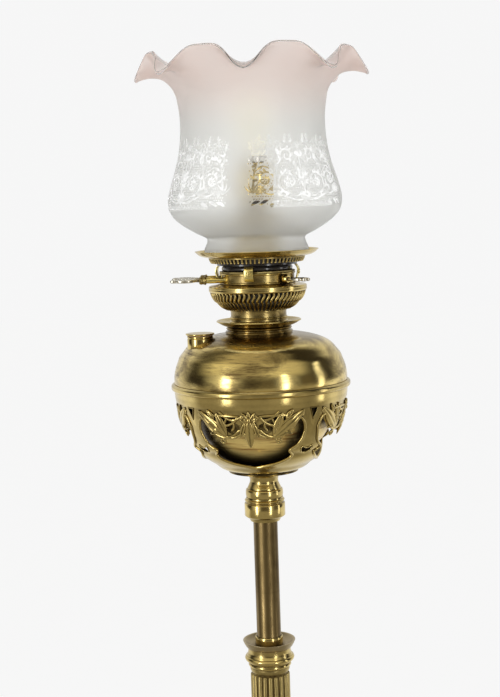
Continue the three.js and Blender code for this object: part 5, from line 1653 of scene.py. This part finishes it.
    def fill(self):
        """Small dots wherever there is room for them."""
        tree = self.tree()
        step = self.dot_step
        for row in range(int(self.height / step)):
            for column in range(int(self.half_width / step) + 1):
                x, z = (column + 0.5 * (row % 2)) * step, 3.5 + row * step
                _, index, away = tree.find((x, z, 0))
                edge = self.half_width - 2.5 * (1 + sin(z * 0.9))
                roof = self.height - 5 - 3 * sin(x * 0.7)
                if x < edge and z < roof and away - self.marks[index][2] > 0.85:
                    self.mark(x, z, 0.6)

    def tree(self):
        """The marks so far, ready to be searched."""
        tree = KDTree(len(self.marks))
        for i, (x, z, _) in enumerate(self.marks):
            tree.insert((x, z, 0), i)
        tree.balance()
        return tree

    def depth(self, x, z):
        """How far a place lies inside a stroke. It is negative outside."""
        return max(self.marks[i][2] - away for _, i, away in self.finished.find_n((x, z, 0), 5))


class SHADE_OT_lamp(Operator):
    """Frilled tulip shade: a fine frosted skin with polished ornament, over clear glass"""
    bl_idname = "lamp.shade"
    bl_label = "Shade"

    across: IntProperty(name="Faces round", default=576)
    lobes: IntProperty(name="Lobes", default=8)
    panels: IntProperty(name="Panels of ornament", default=4)
    trough_turn: FloatProperty(name="Trough's turn", default=radians(-93.4), unit="ROTATION")
    panel_turn: FloatProperty(name="Panel's turn", default=radians(-56), unit="ROTATION")
    panel_width: FloatProperty(name="Panel's width", default=radians(77), unit="ROTATION")
    wall: FloatProperty(name="Wall", default=0.003, unit="LENGTH")
    band_bottom: FloatProperty(name="Bottom of the ornament", default=0.045, unit="LENGTH")
    band_height: FloatProperty(name="Height of the ornament", default=0.067, unit="LENGTH")
    band_row: FloatProperty(name="Row height in the ornament", default=0.0008, unit="LENGTH")
    clear_rim: FloatProperty(name="Clear rim, past half the wall", default=-0.0006, unit="LENGTH")
    drawn_height: FloatProperty(name="Height of the drawn outline", default=0.194, unit="LENGTH")
    pinch: FloatProperty(name="Narrowness of the troughs", default=2.2)
    lip_steps: IntProperty(name="Steps round the lip", default=5)
    rim_from: FloatProperty(name="Lowest place of the rim", default=0.15, unit="LENGTH")

    # Radius in millimetres at which the ornament is drawn, and the value far from it
    arc = 80
    outside = -2.0

    def execute(self, context):
        finishes = finish_by_slot(context)
        low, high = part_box("shade_glass")
        self.bottom = low.z
        self.grow = (high.z - low.z) / self.drawn_height
        outer = self.skin("shade_skin", self.across, False)
        inner = self.skin("shade_inside", self.across // 4, True)
        shade = self.closed(outer, inner)
        self.etch(shade)
        shade.data.materials.append(finishes["frosted_glass"])
        shade.data.materials.append(finishes["clear_glass"])
        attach(shade, BODY_OF["shade_glass"])
        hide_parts("shade_glass")
        return {"FINISHED"}

    def profile(self, turn, inside):
        """Outline of the shade at one turn, from its foot to its rim."""
        droop = (0.5 + 0.5 * cos(self.lobes * (turn - self.trough_turn))) ** self.pinch
        frill = [(rc + (rt - rc) * droop, zc + (zt - zc) * droop)
                 for (rt, zt), (rc, zc) in zip(TROUGH, CREST)]
        run = curve(*[(r * MM, self.bottom + z * MM * self.grow) for r, z in (*SHADE_BODY, *frill)], steps=5)
        inner = self.inset(run)
        if inside:
            return inner
        end = Vector(run[-1])
        middle = (Vector(inner[-1]) + end) / 2
        reach = end - middle
        ahead = Vector((-reach.y, reach.x))
        bends = [pi * i / self.lip_steps for i in range(1, self.lip_steps)]
        return self.spread(run) + [tuple(middle + reach * cos(bend) + ahead * sin(bend)) for bend in bends]

    def inset(self, run):
        """The same outline, drawn in by the wall."""
        moved = []
        for i, (r, z) in enumerate(run):
            (ra, za), (rb, zb) = run[max(i - 1, 0)], run[min(i + 1, len(run) - 1)]
            share = self.wall / hypot(rb - ra, zb - za)
            moved.append((r - share * (zb - za), z + share * (rb - ra)))
        moved[0] = (moved[0][0], self.bottom)
        return moved

    def spread(self, run):
        """The outline with even fine rows where the ornament lies."""
        start = self.bottom + self.band_bottom
        end = start + self.band_height
        rows = round(self.band_height / self.band_row)
        fine = []
        for i in range(rows + 1):
            z = start + self.band_height * i / rows
            (ra, za), (rb, zb) = next(pair for pair in zip(run, run[1:]) if pair[1][1] >= z)
            fine.append((ra + (rb - ra) * (z - za) / (zb - za), z))
        return [*[p for p in run if p[1] < start - MM / 2], *fine, *[p for p in run if p[1] > end + MM / 2]]

    def skin(self, name, columns, inside):
        """A sheet of the outline at each turn, closed into a round."""
        rows = len(self.profile(0, inside))
        sheet = added("grid", name, x_subdivisions=columns, y_subdivisions=rows - 1, size=1)
        profiles = [self.profile(tau * i / columns, inside) for i in range(columns)]
        for point in sheet.data.vertices:
            column = round((point.co.x + 0.5) * columns) % columns
            row = round((point.co.y + 0.5) * (rows - 1))
            radius, z = profiles[column][row]
            turn = tau * column / columns
            point.co = (radius * cos(turn), radius * sin(turn), z)
        begin_edit(sheet)
        bpy.ops.mesh.remove_doubles(threshold=WELD)
        if inside:
            bpy.ops.mesh.flip_normals()
        end_edit()
        return sheet

    def closed(self, outer, inner):
        """Joins the two skins with a band at the foot and another at the rim."""
        count = len(outer.data.polygons)
        middle = self.bottom + self.drawn_height / 2
        shade = joined("shade_blown", outer, inner)
        begin_edit(shade, select=False)
        bpy.ops.mesh.select_mode(type="EDGE")
        for top in (False, True):
            bpy.ops.mesh.select_all(action="DESELECT")
            mesh = bmesh.from_edit_mesh(shade.data)
            for edge in mesh.edges:
                if edge.is_boundary:
                    edge.select_set((edge.verts[0].co.z > middle) == top)
            bmesh.update_edit_mesh(shade.data)
            bpy.ops.mesh.bridge_edge_loops()
        bpy.ops.mesh.select_mode(type="VERT")
        end_edit()
        for face in shade.data.polygons:
            face.material_index = 0 if face.index < count else 1
        return smooth(shade, 50)

    def etch(self, shade):
        """Marks how far each point of the skin lies inside the polished ornament, in millimetres."""
        panel = tau / self.panels
        height = self.band_height / MM
        ornament = Ornament(self.arc * self.panel_width / 2, height)
        start = self.bottom + self.band_bottom
        known = {}
        values = []
        for point in shade.data.vertices:
            x, y, z = point.co
            across = abs((atan2(y, x) - self.panel_turn + panel / 2) % panel - panel / 2) * self.arc
            up = (z - start) / MM
            key = (round(across, 1), round(up, 1))
            if not (-1 < up < height + 1 and across < ornament.half_width + 3):
                values.append(self.outside)
                continue
            if key not in known:
                known[key] = max(self.outside, ornament.depth(*key))
            values.append(known[key])
        self.clear(shade, values)
        layer = shade.data.attributes.new("polished", "FLOAT", "POINT")
        layer.data.foreach_set("value", values)

    def clear(self, shade, values):
        """Leaves the rim clear, where the fire has rounded it."""
        ends = {}
        for i, point in enumerate(shade.data.vertices):
            x, y, z = point.co
            if z < self.bottom + self.rim_from:
                continue
            column = round(atan2(y, x) / tau * self.across) % self.across
            if column not in ends:
                ends[column] = self.profile(tau * column / self.across, False)[-3]
            radius, height = ends[column]
            away = hypot(hypot(x, y) - radius, z - height)
            values[i] = max(self.outside, (self.wall / 2 + self.clear_rim - away) / MM)


OPERATORS = (FINISH_OT_lamp, FEET_OT_lamp, BASE_OT_lamp, ROUND_OT_lamp, COLUMN_OT_lamp, DOME_OT_lamp,
             FILLER_OT_lamp, CRADLE_OT_lamp, AIR_BOWL_OT_lamp, BURNER_OT_lamp, KEYS_OT_lamp, BULB_OT_lamp,
             GALLERY_OT_lamp, SHADE_OT_lamp, STAGE_OT_lamp)


class VIEW3D_PT_lamp(Panel):
    """Lists the lamp's pieces, its sizes and its colours"""
    bl_idname = "VIEW3D_PT_lamp"
    bl_label = "Floor Oil Lamp"
    bl_space_type = "VIEW_3D"
    bl_region_type = "UI"
    bl_category = "Lamp"

    def draw(self, context):
        for settings in (context.scene.lamp_sizes, context.scene.lamp_colours):
            for name in settings.__annotations__:
                self.layout.prop(settings, name)
        for operator in OPERATORS:
            self.layout.operator(operator.bl_idname)


CLASSES = (LampSizes, LampColours, *OPERATORS, VIEW3D_PT_lamp)


def register():
    for made in CLASSES:
        bpy.utils.register_class(made)
    bpy.types.Scene.lamp_sizes = PointerProperty(type=LampSizes)
    bpy.types.Scene.lamp_colours = PointerProperty(type=LampColours)


def unregister():
    del bpy.types.Scene.lamp_colours
    del bpy.types.Scene.lamp_sizes
    for made in reversed(CLASSES):
        bpy.utils.unregister_class(made)


def main():
    register()
    for operator in OPERATORS:
        group, name = operator.bl_idname.split(".")
        getattr(getattr(bpy.ops, group), name)()


if __name__ == "__main__":
    main()
